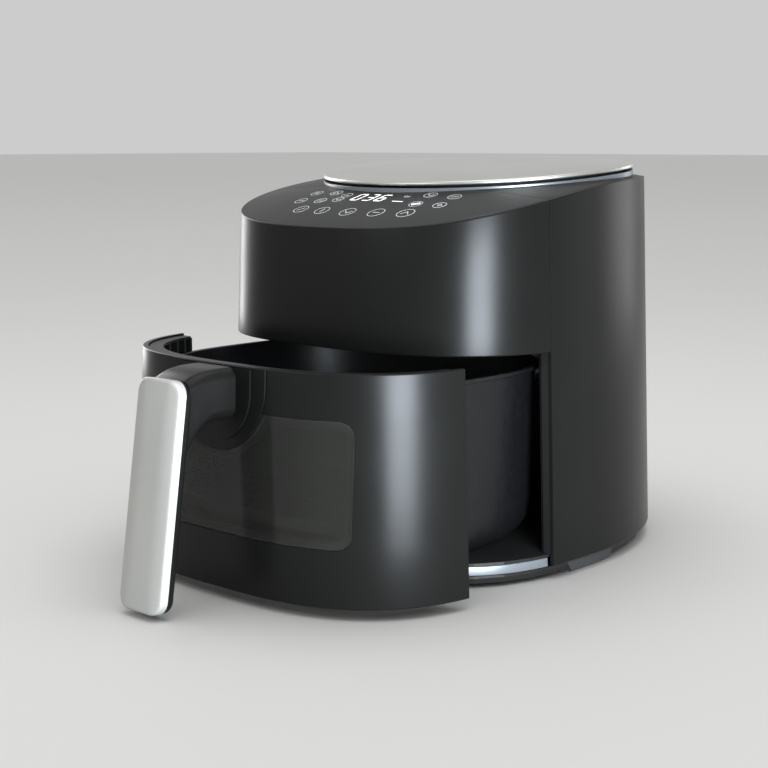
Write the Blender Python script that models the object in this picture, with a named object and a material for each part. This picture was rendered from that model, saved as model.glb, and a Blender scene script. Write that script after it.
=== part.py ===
"""Air fryer with a windowed drawer, modelled as the pieces it comes apart into.

Metres, +Z up, front at -Y.  Every fixed piece is drawn in the machine's own frame, whose plan origin is
the widest point of the housing.  The drawer is drawn closed and its empty pulls it out by DRAWER_OUT.
"""
import math

import bmesh
import bpy
from mathutils import Matrix, Vector

# ---------------------------------------------------------------- driving dimensions
GAP = 0.0003                # between pieces that touch
HALF_WIDTH = 0.145          # housing, at the height UPPER_BOTTOM
FRONT_DEPTH = 0.1377        # plan origin to the front of the housing
REAR_DEPTH = 0.1807         # plan origin to the back of the housing
FRONT_POWER = 2.89          # squareness of the front half of the outline
REAR_POWER = 2.09           # squareness of the rear half
DRAFT = 0.2317              # relative growth of the outline per metre towards the floor
WALL = 0.0028               # plastic shells
SEAM_Y = -0.0482            # where the front and rear shells meet
EDGE = 0.0010               # roundness of a shell's free edges

SHELL_BOTTOM = 0.0105       # lower edge of the rear shell
UPPER_BOTTOM = 0.1629       # lower edge of the upper housing, over the drawer
LIP_HEIGHT = 0.0025         # lip that turns in under the upper housing
LIP_INSET = 0.0090
HEAD_HEIGHT = 0.1130        # upper housing, at the plan origin
TOP_AT_ORIGIN = UPPER_BOTTOM + HEAD_HEIGHT      # top edge of the shells: height, slope and bend along Y
TOP_SLOPE = 0.124
TOP_BEND = 0.62
CROWN = 0.0085              # rise of the top cover above the shells' edge

PANEL_DEPTH = 0.0705        # touch panel, from the front edge back to the lid
LID_Y = 0.0536              # silver lid: centre, size, tilt and thickness
LID_RISE = 0.0108
LID_SIDE_MARGIN = 0.0169
LID_REAR_MARGIN = 0.0521
LID_Z = TOP_AT_ORIGIN + LID_RISE
LID_HALF_WIDTH = HALF_WIDTH - LID_SIDE_MARGIN
LID_FRONT = LID_Y + FRONT_DEPTH - PANEL_DEPTH
LID_REAR = REAR_DEPTH - LID_Y - LID_REAR_MARGIN
LID_POWER = 2.13
LID_TILT = math.radians(5.06)
LID_RIM = 0.0030
LID_DOME = 0.0022
LID_SHADOW_GAP = 0.0018     # between the lid and the plinth under it
PLINTH_WIDTH = 0.0040
COVER_THICKNESS = 0.0025
PANEL_THICKNESS = 0.0012    # touch panel let into the top cover

BASE_BOTTOM = 0.0030        # underside of the base plate
BASE_FLOOR = 0.0030         # its thickness
BASE_INSET = 0.0050         # base edge behind the outer surface
TRIM_BOTTOM = 0.0090        # satin band round the front of the base
TRIM_TOP = 0.0155
TRIM_THICKNESS = 0.0025
FLOOR_THICKNESS = 0.0020    # floor of the drawer bay
FOOT_TOP = 0.0087
FOOT_DEPTH = 0.0140
FOOT_LENGTH = 0.060
FOOT_TAPER = 0.0060         # each end of a foot is this much shorter at the floor
FOOT_EDGE = 0.0008          # bevel round a foot's sole
SCREW_RADIUS = 0.0020
SCREW_HEAD = 0.0037
SCREW_HEAD_HEIGHT = 0.0020
BASE_SCREW_INSET = 0.0260
BASE_SCREW_ANGLES = (40, 180, 320)

BAY_INSET = 0.0120          # clear face of the drawer bay behind the outer surface
BAY_WALL = 0.0025
REAR_SPACE = 0.0407         # behind the bay, for the duct and the switch
BAY_REAR = REAR_DEPTH - REAR_SPACE
BAY_REAR_POWER = 2.6
RAIL_HEIGHT = 0.0035
RAIL_WIDTH = 0.0080
RAIL_HALF_SPACING = 0.060

DRAWER_OUT = 0.0943         # how far the drawer stands open
DRAWER_BOTTOM = 0.0075
DRAWER_TOP_GAP = 0.0014     # under the upper housing
DRAWER_TOP = UPPER_BOTTOM - DRAWER_TOP_GAP
DRAWER_WALL = 0.0038
WINDOW_SIDE_MARGIN = 0.0380
WINDOW_TOP_MARGIN = 0.0305
WINDOW_HALF_WIDTH = HALF_WIDTH - WINDOW_SIDE_MARGIN
WINDOW_BOTTOM = 0.0460
WINDOW_TOP = DRAWER_TOP - WINDOW_TOP_MARGIN
WINDOW_RADIUS = 0.0100
PANE_THICKNESS = 0.0025
INNER_GLASS_THICKNESS = 0.0040
HUB_RADIUS = 0.0470         # round cover where the handle meets the drawer
HUB_DROP = 0.0120           # its centre under the drawer's top
HUB_Z = DRAWER_TOP - HUB_DROP
HUB_PROUD = 0.0012
FLANGE_RADIUS = 0.0350      # flange of the handle on the cover
FLANGE_DROP = 0.0055
FLANGE_Z = HUB_Z - FLANGE_DROP

BOWL_MARGIN = 0.0175        # rim inside the drawer front and the sides of the bay
BOWL_REAR_GAP = 0.0200      # rim ahead of the bay's rear wall
BOWL_DROP = 0.0115          # rim under the drawer's top
BOWL_HALF_WIDTH = HALF_WIDTH - BOWL_MARGIN
BOWL_FRONT = FRONT_DEPTH - BOWL_MARGIN
BOWL_REAR = BAY_REAR - BOWL_REAR_GAP
BOWL_RIM_Z = DRAWER_TOP - BOWL_DROP
BOWL_BOTTOM_Z = 0.0220
BOWL_WALL = 0.0015
PLATE_Z = 0.0400            # underside of the crisper plate
PLATE_THICKNESS = 0.0020
PLATE_INSET = 0.0110
PLATE_FOOT_X = 0.0660
PLATE_FOOT_Y = 0.0520
PLATE_HOLE_RADIUS = 0.0045
PLATE_HOLE_PITCH = 0.0300
PLATE_FOOT_RADIUS = 0.0065

HANDLE_WIDTH = 0.0431       # silver grip plate
HANDLE_DROP = 0.0050        # its top under the drawer's top
HANDLE_TOP = DRAWER_TOP - HANDLE_DROP
HANDLE_BOTTOM = 0.0045
HANDLE_REACH = 0.0511       # its front face ahead of the housing, at HANDLE_TOP
HANDLE_FACE_Y = -(FRONT_DEPTH + HANDLE_REACH)
HANDLE_TILT = math.radians(8.27)
HANDLE_PLATE_THICKNESS = 0.0080
HANDLE_BODY_THICKNESS = 0.0062
ARM_HALF_WIDTH = 0.0225
ARM_HEIGHT = 0.0345
ARM_RADIUS = 0.0080
ARM_TOP = DRAWER_TOP - 0.0010
ARM_UNDERSIDE = ARM_TOP - ARM_HEIGHT
HANDLE_SCREW_X = 0.0120
HANDLE_SCREW_Z = HUB_Z - 0.0065

FAN_Y = 0.0100              # axis of the motor, both fans and the element
CHAMBER_OPENING = 0.1000    # radius of the hole in the bay's ceiling
CEILING_THICKNESS = 0.0020
SHIELD_HEIGHT = 0.0410
SHEET = 0.0010              # pressed steel parts
ELEMENT_TUBE = 0.0032       # radius
ELEMENT_OUTER = 0.0850
ELEMENT_INNER = 0.0660
ELEMENT_TURNS = 2.25
FAN_RADIUS = 0.0560
FAN_BLADES = 9
SHAFT_RADIUS = 0.0040
COOLING_FAN_RADIUS = 0.0500
COOLING_BLADES = 6
MOTOR_RADIUS = 0.0330
MOTOR_HEIGHT = 0.0285
BLADE_THICKNESS = 0.0008
BOARD_THICKNESS = 0.0016
BOARD_WIDTH = 0.150         # touch board
DISPLAY_SIZE = (0.046, 0.014, 0.0024)
POWER_BOARD_SIZE = (0.104, 0.032)

OUTLET_HALF_WIDTH = 0.0350
OUTLET_HEIGHT = 0.0500
OUTLET_TOP = UPPER_BOTTOM - 0.0104
OUTLET_BOTTOM = OUTLET_TOP - OUTLET_HEIGHT
OUTLET_SLOTS = 6
INLET_Z = 0.0400
INLET_RADIUS = 0.0090
INLET_FLANGE = 0.0125
PLUNGER_X = 0.0500          # safety switch behind the bay
PLUNGER_Z = BOWL_RIM_Z - 0.0100
PLUNGER_RADIUS = 0.0030
PLUNGER_REACH = 0.0040      # how far it stands into the bay
SWITCH_CLEARANCE = 0.0030   # switch behind the bay's rear wall
SWITCH_SIZE = (0.020, 0.013, 0.014)
STRIKER_SIZE = (0.012, 0.010)
STRIKER_GAP = 0.0005        # left between striker and plunger when the drawer is shut

RING_FACET = 0.01320        # the facets are as many as fit into HALF_WIDTH at these sizes, times four or two
FRONT_FACET = 0.01115
REAR_FACET = 0.01036

# ---------------------------------------------------------------- values worked out from those
RING_STEPS = 4 * round(HALF_WIDTH / RING_FACET)         # facets round the whole outline
FRONT_STEPS = 2 * round(HALF_WIDTH / FRONT_FACET)       # from seam to seam round the front
REAR_STEPS = 2 * round(HALF_WIDTH / REAR_FACET)
PANEL_LEVEL = TOP_AT_ORIGIN - 0.0139    # where the touch panel's front edge follows the outline
CEILING_Z = UPPER_BOTTOM + GAP
SHIELD_Z = CEILING_Z + CEILING_THICKNESS + GAP
SHIELD_TOP = SHIELD_Z + SHIELD_HEIGHT
FLOOR_Z = TRIM_TOP + GAP
FLOOR_TOP = FLOOR_Z + FLOOR_THICKNESS
DRAWER_UNDERSIDE = FLOOR_TOP + 0.0012
ELEMENT_Z = SHIELD_Z + 0.0125
COVER_INSET = WALL + GAP
BAY_TOP = UPPER_BOTTOM - GAP
GLASS_HALF_WIDTH = WINDOW_HALF_WIDTH - 0.0100
GLASS_BOTTOM = WINDOW_BOTTOM + 0.0050
GLASS_TOP = WINDOW_TOP - 0.0040
GLASS_LAP = 0.0070          # glass over the edge of the bowl's opening
SEAL_WIDTH = 0.0070
CUT_AHEAD = -FRONT_DEPTH - 0.0300       # a cutting tool starts ahead of the front and ends behind it
CUT_BEHIND = -FRONT_DEPTH + 0.0900

FINISHES = {                # colour, roughness, metallic
    "gloss_black": ((0.022, 0.022, 0.021), 0.18, 0.0),
    "satin_black": ((0.028, 0.028, 0.027), 0.42, 0.0),
    "matt_black": ((0.012, 0.012, 0.012), 0.65, 0.0),
    "panel_black": ((0.040, 0.040, 0.040), 0.30, 0.0),
    "brushed_silver": ((0.55, 0.55, 0.53), 0.30, 1.0),
    "painted_silver": ((0.52, 0.53, 0.52), 0.32, 0.6),
    "satin_grey": ((0.20, 0.22, 0.23), 0.30, 0.5),
    "smoked_glass": ((0.030, 0.030, 0.028), 0.06, 0.0),
    "clear_glass": ((0.55, 0.56, 0.55), 0.03, 0.0),
    "rubber": ((0.015, 0.015, 0.015), 0.80, 0.0),
    "grey_silicone": ((0.10, 0.10, 0.10), 0.60, 0.0),
    "nonstick": ((0.020, 0.020, 0.021), 0.45, 0.3),
    "steel": ((0.45, 0.45, 0.44), 0.35, 1.0),
    "dark_steel": ((0.10, 0.10, 0.10), 0.50, 0.9),
    "aluminium": ((0.62, 0.62, 0.61), 0.30, 1.0),
    "zinc_steel": ((0.50, 0.52, 0.53), 0.40, 1.0),
    "green_board": ((0.02, 0.12, 0.05), 0.50, 0.0),
    "black_part": ((0.02, 0.02, 0.02), 0.50, 0.0),
}


# ---------------------------------------------------------------- outlines
class Oval:
    """Plan outline: a superellipse whose front and rear halves differ, with draft over the height.

    An angle of 0 is the front (-Y) and 90 degrees is the right side (+X).
    """

    def __init__(self, half_width, front, rear, front_power, rear_power, draft=0.0, centre_y=0.0):
        self.half_width = half_width
        self.front = front
        self.rear = rear
        self.front_power = front_power
        self.rear_power = rear_power
        self.draft = draft
        self.centre_y = centre_y

    def sizes(self, inset, z, ahead):
        """Half width, depth and power of the front or rear half, moved in by inset, at height z."""
        scale = 1 + self.draft * (UPPER_BOTTOM - z)
        depth = self.front if ahead else self.rear
        power = self.front_power if ahead else self.rear_power
        return self.half_width * scale - inset, depth * scale - inset, power

    def point(self, inset, z, angle):
        across, along = math.sin(angle), -math.cos(angle)
        width, depth, power = self.sizes(inset, z, along < 0)
        radius = (abs(across / width) ** power + abs(along / depth) ** power) ** (-1 / power)
        return across * radius, self.centre_y + along * radius

    def angle_at(self, inset, z, y):
        """Angle on the right side where the outline crosses the plane at y."""
        local = y - self.centre_y
        width, depth, power = self.sizes(inset, z, local < 0)
        x = width * (1 - abs(local / depth) ** power) ** (1 / power)
        return math.atan2(x, -local)


HOUSING = Oval(HALF_WIDTH, FRONT_DEPTH, REAR_DEPTH, FRONT_POWER, REAR_POWER, DRAFT)
BAY = Oval(HALF_WIDTH, FRONT_DEPTH, BAY_REAR + BAY_INSET, FRONT_POWER, BAY_REAR_POWER, DRAFT)
BOWL = Oval(BOWL_HALF_WIDTH, BOWL_FRONT, BOWL_REAR, FRONT_POWER, BAY_REAR_POWER)
LID = Oval(LID_HALF_WIDTH, LID_FRONT, LID_REAR, LID_POWER, LID_POWER, centre_y=LID_Y)


def top_edge(x, y):
    """Height of the shells' top edge."""
    return TOP_AT_ORIGIN + TOP_SLOPE * y - TOP_BEND * y * y


def top_surface(x, y):
    """Height of the crowned top cover."""
    width, depth, power = HOUSING.sizes(0, TOP_AT_ORIGIN, y < 0)
    reach = (abs(x / width) ** power + abs(y / depth) ** power) ** (2 / power)
    return top_edge(x, y) + CROWN * (1 - min(reach, 1))


def lid_plane(y, rise=0.0):
    """Height of the lid's tilted underside, or of a plane that is rise above it."""
    return LID_Z + (y - LID_Y) * math.tan(LID_TILT) + rise


def full_turn(inset, z):
    return 0.0, 2 * math.pi


def front_span(oval, y):
    """The front of an outline, from the plane at y round to the same plane on the other side."""
    def span(inset, z):
        end = oval.angle_at(inset, z, y)
        return -end, end
    return span


def rear_span(oval, y):
    def span(inset, z):
        start = oval.angle_at(inset, z, y)
        return start, 2 * math.pi - start
    return span


def outline_ring(oval, inset, height, span, steps, closed):
    """Points along an outline.  height is a number, or a function of x and y."""
    level = height if not callable(height) else TOP_AT_ORIGIN
    start, end = span(inset, level)
    points = []
    for i in range(steps if closed else steps + 1):
        angle = start + (end - start) * i / steps
        x, y = oval.point(inset, level, angle)
        if callable(height):
            x, y = oval.point(inset, height(x, y), angle)
            points.append((x, y, height(x, y)))
        else:
            points.append((x, y, height))
    return points


# ---------------------------------------------------------------- solids
def loft(rings, around=True, along=False):
    """Skin rings of equal length.  around joins each ring's ends, along joins the last ring to the first."""
    mesh = bmesh.new()
    rows = [[mesh.verts.new(point) for point in ring] for ring in rings]
    count = len(rows[0])
    pairs = list(zip(rows, rows[1:])) + ([(rows[-1], rows[0])] if along else [])
    for low, high in pairs:
        for i in range(count if around else count - 1):
            j = (i + 1) % count
            mesh.faces.new((low[i], low[j], high[j], high[i]))
    if not along:
        mesh.faces.new(rows[0])
        mesh.faces.new(rows[-1])
    if not around:
        mesh.faces.new([row[0] for row in rows])
        mesh.faces.new([row[-1] for row in rows])
    return mesh


def wall(oval, profile, span=full_turn, steps=RING_STEPS):
    """Carry a closed profile of (inset, height) points along an outline."""
    closed = span is full_turn
    rings = [outline_ring(oval, inset, height, span, steps, closed) for inset, height in profile]
    return loft(rings, around=closed, along=True)


def solid_oval(oval, profile, steps=RING_STEPS):
    """Stack outlines of (inset, height) and close the first and the last."""
    return loft([outline_ring(oval, inset, height, full_turn, steps, True) for inset, height in profile])


def circle(radius, z, steps, centre=(0.0, 0.0)):
    turns = [2 * math.pi * i / steps for i in range(steps)]
    return [(centre[0] + radius * math.sin(a), centre[1] - radius * math.cos(a), z) for a in turns]


def turned(profile, steps=24, bored=False, centre=(0.0, 0.0)):
    """Turn a profile of (radius, z) about a vertical axis; bored closes it round a hole."""
    return loft([circle(radius, z, steps, centre) for radius, z in profile], along=bored)


def box(low, high):
    corners = [(low[0], low[1]), (high[0], low[1]), (high[0], high[1]), (low[0], high[1])]
    return loft([[(x, y, z) for x, y in corners] for z in (low[2], high[2])])


def rounded_rectangle(x0, x1, z0, z1, radius, steps=5):
    """Corner points of a rectangle with round corners, anticlockwise from its lower right corner."""
    points = []
    corners = ((x1, z0, -90), (x1, z1, 0), (x0, z1, 90), (x0, z0, 180))
    for x, z, start in corners:
        cx = x + radius * (-1 if x == x1 else 1)
        cz = z + radius * (-1 if z == z1 else 1)
        for i in range(steps + 1):
            a = math.radians(start + 90 * i / steps)
            points.append((cx + radius * math.cos(a), cz + radius * math.sin(a)))
    return points


def prism(outline, y0, y1):
    """An (x, z) outline carried along Y."""
    return loft([[(x, y, z) for x, z in outline] for y in (y0, y1)])


def rod_ring(x, z, radius, y, steps=12):
    turns = [2 * math.pi * i / steps for i in range(steps)]
    return [(x + radius * math.cos(a), y, z + radius * math.sin(a)) for a in turns]


def rod_y(x, z, radius, y0, y1, steps=12):
    return loft([rod_ring(x, z, radius, y, steps) for y in (y0, y1)])


def combined(meshes):
    """Separate solids in one mesh."""
    result = bmesh.new()
    for source in meshes:
        data = bpy.data.meshes.new("solid")
        source.to_mesh(data)
        source.free()
        result.from_mesh(data)
        bpy.data.meshes.remove(data)
    return result


def mirrored(mesh):
    """The solid and its mirror image in X, as separate solids."""
    other = mesh.copy()
    bmesh.ops.transform(other, matrix=Matrix.Scale(-1, 4, (1, 0, 0)), verts=other.verts)
    return combined([mesh, other])


# ---------------------------------------------------------------- objects
def finish(name, kind):
    colour, roughness, metallic = FINISHES[kind]
    material = bpy.data.materials.new(name + "_finish")
    material.use_nodes = True
    shader = material.node_tree.nodes["Principled BSDF"]
    shader.inputs["Base Color"].default_value = (*colour, 1)
    shader.inputs["Roughness"].default_value = roughness
    shader.inputs["Metallic"].default_value = metallic
    return material


def to_object(name, mesh, parent):
    bmesh.ops.recalc_face_normals(mesh, faces=mesh.faces)
    data = bpy.data.meshes.new(name)
    mesh.to_mesh(data)
    mesh.free()
    obj = bpy.data.objects.new(name, data)
    bpy.context.collection.objects.link(obj)
    obj.parent = parent
    return obj


def piece(name, mesh, parent, kind):
    """One sub-part with its own finish, shaded smooth up to its sharp edges."""
    obj = to_object(name, mesh, parent)
    obj.data.materials.append(finish(name, kind))
    obj.data.shade_smooth()
    obj.data.set_sharp_from_angle(angle=math.radians(35))
    return obj


def hidden_tool(name, mesh, parent):
    tool = to_object(name, mesh, parent)
    tool.hide_render = True
    tool.display_type = "WIRE"
    return tool


def shape_with(obj, mesh, operation="DIFFERENCE"):
    """Cut a piece with a solid or a hidden tool, join it on, or keep what both share."""
    tool = hidden_tool(obj.name + "_tool", mesh, obj.parent) if isinstance(mesh, bmesh.types.BMesh) else mesh
    modifier = obj.modifiers.new(operation.lower(), "BOOLEAN")
    modifier.operation = operation
    modifier.object = tool
    modifier.solver = "EXACT"


def empty(name, parent=None, location=(0, 0, 0)):
    obj = bpy.data.objects.new(name, None)
    bpy.context.collection.objects.link(obj)
    obj.parent = parent
    obj.location = location
    return obj


# ---------------------------------------------------------------- base
def foot_solid(angle, grow=0.0):
    """A block that follows the housing's outline, shorter at the floor than at the top."""
    rings = []
    for inset, z in ((BASE_INSET, FOOT_TOP), (BASE_INSET + FOOT_EDGE * 0.75, FOOT_EDGE),
                     (BASE_INSET + FOOT_EDGE * 1.75, 0.0),
                     (BASE_INSET + FOOT_DEPTH, 0.0), (BASE_INSET + FOOT_DEPTH, FOOT_TOP)):
        x, y = HOUSING.point(inset, z, angle)
        taper = FOOT_TAPER * (1 - z / FOOT_TOP)
        half = (FOOT_LENGTH / 2 - taper + grow) / math.hypot(x, y)
        out = -grow if inset < BASE_INSET + FOOT_DEPTH else grow
        lift = grow if z == FOOT_TOP else (-grow if z == 0 else 0)
        ring = []
        for i in range(7):
            px, py = HOUSING.point(inset + out, z, angle + half * (i - 3) / 3)
            ring.append((px, py, z + lift))
        rings.append(ring)
    return loft(rings, around=False, along=True)


FOOT_ANGLES = {"foot_front": 0.0, "foot_right": math.radians(91), "foot_rear": math.pi,
               "foot_left": math.radians(269)}


def base_screw_places():
    return [HOUSING.point(BASE_SCREW_INSET, BASE_BOTTOM, math.radians(angle)) for angle in BASE_SCREW_ANGLES]


def build_base(frame):
    rim = TRIM_BOTTOM - GAP
    base = piece("base_plate", solid_oval(HOUSING, [
        (BASE_INSET + 0.0015, BASE_BOTTOM), (BASE_INSET, BASE_BOTTOM + 0.004), (BASE_INSET, rim),
        (BASE_INSET + 0.006, rim), (BASE_INSET + 0.006, BASE_BOTTOM + BASE_FLOOR)]), frame, "satin_black")
    for name, angle in FOOT_ANGLES.items():
        shape_with(base, foot_solid(angle, GAP))
        piece(name, foot_solid(angle), frame, "rubber")
    head = BASE_BOTTOM + 0.0004
    for number, place in enumerate(base_screw_places(), 1):
        shape_with(base, turned([(SCREW_HEAD + GAP, 0.0), (SCREW_HEAD + GAP, 0.02)], 12, centre=place))
        piece(f"base_screw_{number}", turned([
            (SCREW_HEAD, head), (SCREW_HEAD, head + SCREW_HEAD_HEIGHT),
            (SCREW_RADIUS, head + SCREW_HEAD_HEIGHT + 0.0004), (SCREW_RADIUS, FLOOR_Z - GAP)],
            12, centre=place), frame, "zinc_steel")
    inner = BASE_INSET + TRIM_THICKNESS
    piece("base_trim", wall(HOUSING, [
        (BASE_INSET, TRIM_BOTTOM), (BASE_INSET, TRIM_TOP), (inner, TRIM_TOP), (inner, TRIM_BOTTOM)],
        front_span(HOUSING, SEAM_Y - GAP), FRONT_STEPS), frame, "satin_grey")
    floor = piece("bay_floor", solid_oval(HOUSING, [(BASE_INSET, FLOOR_Z), (BASE_INSET, FLOOR_TOP)]),
                  frame, "satin_black")
    rail = box((RAIL_HALF_SPACING, -0.100, FLOOR_TOP - 0.001),
               (RAIL_HALF_SPACING + RAIL_WIDTH, 0.090, FLOOR_TOP + RAIL_HEIGHT))
    shape_with(floor, mirrored(rail), "UNION")


# ---------------------------------------------------------------- outer shells and top
def outlet_outline(inset):
    return rounded_rectangle(-OUTLET_HALF_WIDTH + inset, OUTLET_HALF_WIDTH - inset,
                             OUTLET_BOTTOM + inset, OUTLET_TOP - inset, 0.004, 3)


def build_shells(frame):
    def rim(drop):
        return lambda x, y: top_edge(x, y) - drop

    low, high = UPPER_BOTTOM - 0.0729, UPPER_BOTTOM + 0.0171
    rear = piece("rear_shell", wall(HOUSING, [
        (EDGE, SHELL_BOTTOM), (0.0, SHELL_BOTTOM + EDGE), (0.0, low), (0.0, high), (0.0, rim(EDGE * 1.2)),
        (EDGE, rim(0.0)), (WALL, rim(0.0)), (WALL, high), (WALL, low), (WALL, SHELL_BOTTOM)],
        rear_span(HOUSING, SEAM_Y + GAP / 2), REAR_STEPS), frame, "gloss_black")
    shape_with(rear, prism(outlet_outline(0), REAR_DEPTH - 0.02, REAR_DEPTH + 0.02))
    shape_with(rear, rod_y(0, INLET_Z, INLET_RADIUS + GAP, REAR_DEPTH - 0.02, REAR_DEPTH + 0.02, 16))
    lip = UPPER_BOTTOM + LIP_HEIGHT
    piece("front_shell", wall(HOUSING, [
        (EDGE * 1.2, UPPER_BOTTOM), (0.0, UPPER_BOTTOM + EDGE * 1.2), (0.0, rim(EDGE * 1.2)), (EDGE, rim(0.0)),
        (WALL, rim(0.0)), (WALL, lip), (LIP_INSET, lip), (LIP_INSET, UPPER_BOTTOM)],
        front_span(HOUSING, SEAM_Y - GAP / 2), FRONT_STEPS), frame, "gloss_black")


def lid_ring(offset, rise, steps=RING_STEPS):
    """The lid's outline grown by offset, on the lid's tilted plane raised by rise."""
    return outline_ring(LID, -offset, lambda x, y: lid_plane(y, rise), full_turn, steps, True)


def blended_ring(share, drop):
    """Between the cover's outer edge (share 0) and the plinth's foot (share 1), on the crowned surface."""
    outer = outline_ring(HOUSING, COVER_INSET, top_edge, full_turn, RING_STEPS, True)
    inner = lid_ring(0.0, 0.0)
    ring = []
    for a, b in zip(outer, inner):
        x, y = a[0] + (b[0] - a[0]) * share, a[1] + (b[1] - a[1]) * share
        ring.append((x, y, top_surface(x, y) - drop))
    return ring


def panel_grid(edge_inset, seam_gap, plinth_gap, count=25):
    """Columns of (x, y) over the touch panel, each from the front edge back to the seam or the plinth."""
    front = []
    end = HOUSING.angle_at(edge_inset, TOP_AT_ORIGIN, SEAM_Y - 0.004)
    rear_y = SEAM_Y - seam_gap
    for i in range(count):
        x, y = HOUSING.point(edge_inset, PANEL_LEVEL, -end + 2 * end * i / (count - 1))
        front.append((x, y))
    rear = []
    for x, y in front:
        width, depth, power = LID.sizes(-plinth_gap, 0, True)
        reach = 1 - abs(x / width) ** power if abs(x) < width else 0
        plinth_y = LID_Y - depth * reach ** (1 / power)
        rear.append((x, max(min(rear_y, plinth_y), y + 0.002)))
    rows = 5
    return [[(x0 + (x1 - x0) * j / (rows - 1), y0 + (y1 - y0) * j / (rows - 1)) for j in range(rows)]
            for (x0, y0), (x1, y1) in zip(front, rear)]


def panel_solid(edge_inset, seam_gap, plinth_gap, below, above):
    """A slab under the crowned surface, from above to below it."""
    grid = panel_grid(edge_inset, seam_gap, plinth_gap)
    rings = []
    for column in grid:
        top = [(x, y, top_surface(x, y) + above) for x, y in column]
        bottom = [(x, y, top_surface(x, y) - below) for x, y in reversed(column)]
        rings.append(top + bottom)
    return loft(rings)


def build_top(frame):
    plinth_top = -LID_SHADOW_GAP
    recess = plinth_top - 0.003
    edge = PLINTH_WIDTH + 0.004
    mesh = loft([
        lid_ring(-edge, recess - COVER_THICKNESS), blended_ring(0.97, COVER_THICKNESS + 0.001),
        blended_ring(0.5, COVER_THICKNESS), blended_ring(0.0, COVER_THICKNESS), blended_ring(0.0, 0.0003),
        blended_ring(0.35, 0.0), blended_ring(0.7, 0.0), blended_ring(1.0, 0.0), lid_ring(-0.0005, plinth_top),
        lid_ring(-PLINTH_WIDTH, plinth_top), lid_ring(-PLINTH_WIDTH, recess), lid_ring(-edge, recess)])
    top = piece("top_cover", mesh, frame, "satin_black")
    shape_with(top, panel_solid(COVER_INSET - 0.004, -GAP, 0.0005, PANEL_THICKNESS + GAP, 0.003))
    piece("control_panel", panel_solid(COVER_INSET + 0.0005, GAP, 0.0012, PANEL_THICKNESS, 0.0), frame,
          "panel_black")

    piece("lid_carrier", loft([lid_ring(-0.010, recess + GAP), lid_ring(-0.010, -GAP)]), frame, "matt_black")
    piece("lid_disc", loft([
        lid_ring(-0.0012, 0.0), lid_ring(0.0, 0.0008), lid_ring(0.0, LID_RIM - 0.001), lid_ring(-0.0009, LID_RIM),
        lid_ring(-0.020, LID_RIM + LID_DOME * 0.45), lid_ring(-0.055, LID_RIM + LID_DOME)]), frame,
        "brushed_silver")


def tilted_box(centre, size, tilt):
    mesh = box([-s / 2 for s in size], [s / 2 for s in size])
    bmesh.ops.transform(mesh, matrix=Matrix.Translation(centre) @ Matrix.Rotation(tilt, 4, "X"), verts=mesh.verts)
    return mesh


def build_controls(frame):
    y0, y1 = -FRONT_DEPTH + 0.0177, LID_Y - LID_FRONT - 0.0028
    tilt = math.atan2(top_surface(0, y1) - top_surface(0, y0), y1 - y0)
    middle = (y0 + y1) / 2
    level = top_surface(0, middle) - PANEL_THICKNESS - COVER_THICKNESS - 0.0060
    piece("touch_board", tilted_box((0, middle, level), (BOARD_WIDTH, y1 - y0 - 0.002, BOARD_THICKNESS), tilt),
          frame, "green_board")
    lift = (BOARD_THICKNESS + DISPLAY_SIZE[2]) / 2 + GAP
    centre = (0, middle - math.sin(tilt) * lift + 0.012 * math.cos(tilt),
              level + math.cos(tilt) * lift + 0.012 * math.sin(tilt))
    piece("display_module", tilted_box(centre, DISPLAY_SIZE, tilt), frame, "black_part")


# ---------------------------------------------------------------- drawer bay and hot-air chamber
def build_bay(frame):
    low, high = FLOOR_TOP + GAP, BAY_TOP
    back = BAY_INSET - BAY_WALL
    bay = piece("inner_housing", wall(BAY, [
        (BAY_INSET, low), (BAY_INSET, high), (back, high), (back, low)],
        rear_span(BAY, -0.0460), REAR_STEPS), frame, "satin_black")
    shape_with(bay, prism(outlet_outline(0.0055), BAY_REAR - 0.02, BAY_REAR + 0.02))
    shape_with(bay, rod_y(PLUNGER_X, PLUNGER_Z, PLUNGER_RADIUS + 0.0006, BAY_REAR - 0.03, BAY_REAR + 0.02))

    inner = back - 2 * GAP
    for name, side in (("opening_jamb_right", 1), ("opening_jamb_left", -1)):
        def jamb_span(inset, z):
            return side * HOUSING.angle_at(inset, z, -0.0400), side * HOUSING.angle_at(inset, z, SEAM_Y + GAP)
        piece(name, wall(HOUSING, [
            (COVER_INSET, low), (COVER_INSET, high), (inner, high), (inner, low)], jamb_span, 1),
            frame, "satin_black")

    ceiling = Oval(HALF_WIDTH, FRONT_DEPTH, BAY_REAR + 0.020, FRONT_POWER, BAY_REAR_POWER, DRAFT)
    steps, top = RING_STEPS - 4, CEILING_Z + CEILING_THICKNESS
    outer = [outline_ring(ceiling, 0.0093, z, full_turn, steps, True) for z in (CEILING_Z, top)]
    inner = [circle(CHAMBER_OPENING, z, steps, (0, FAN_Y)) for z in (top, CEILING_Z)]
    piece("bay_ceiling", loft(outer + inner, along=True), frame, "dark_steel")


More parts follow.
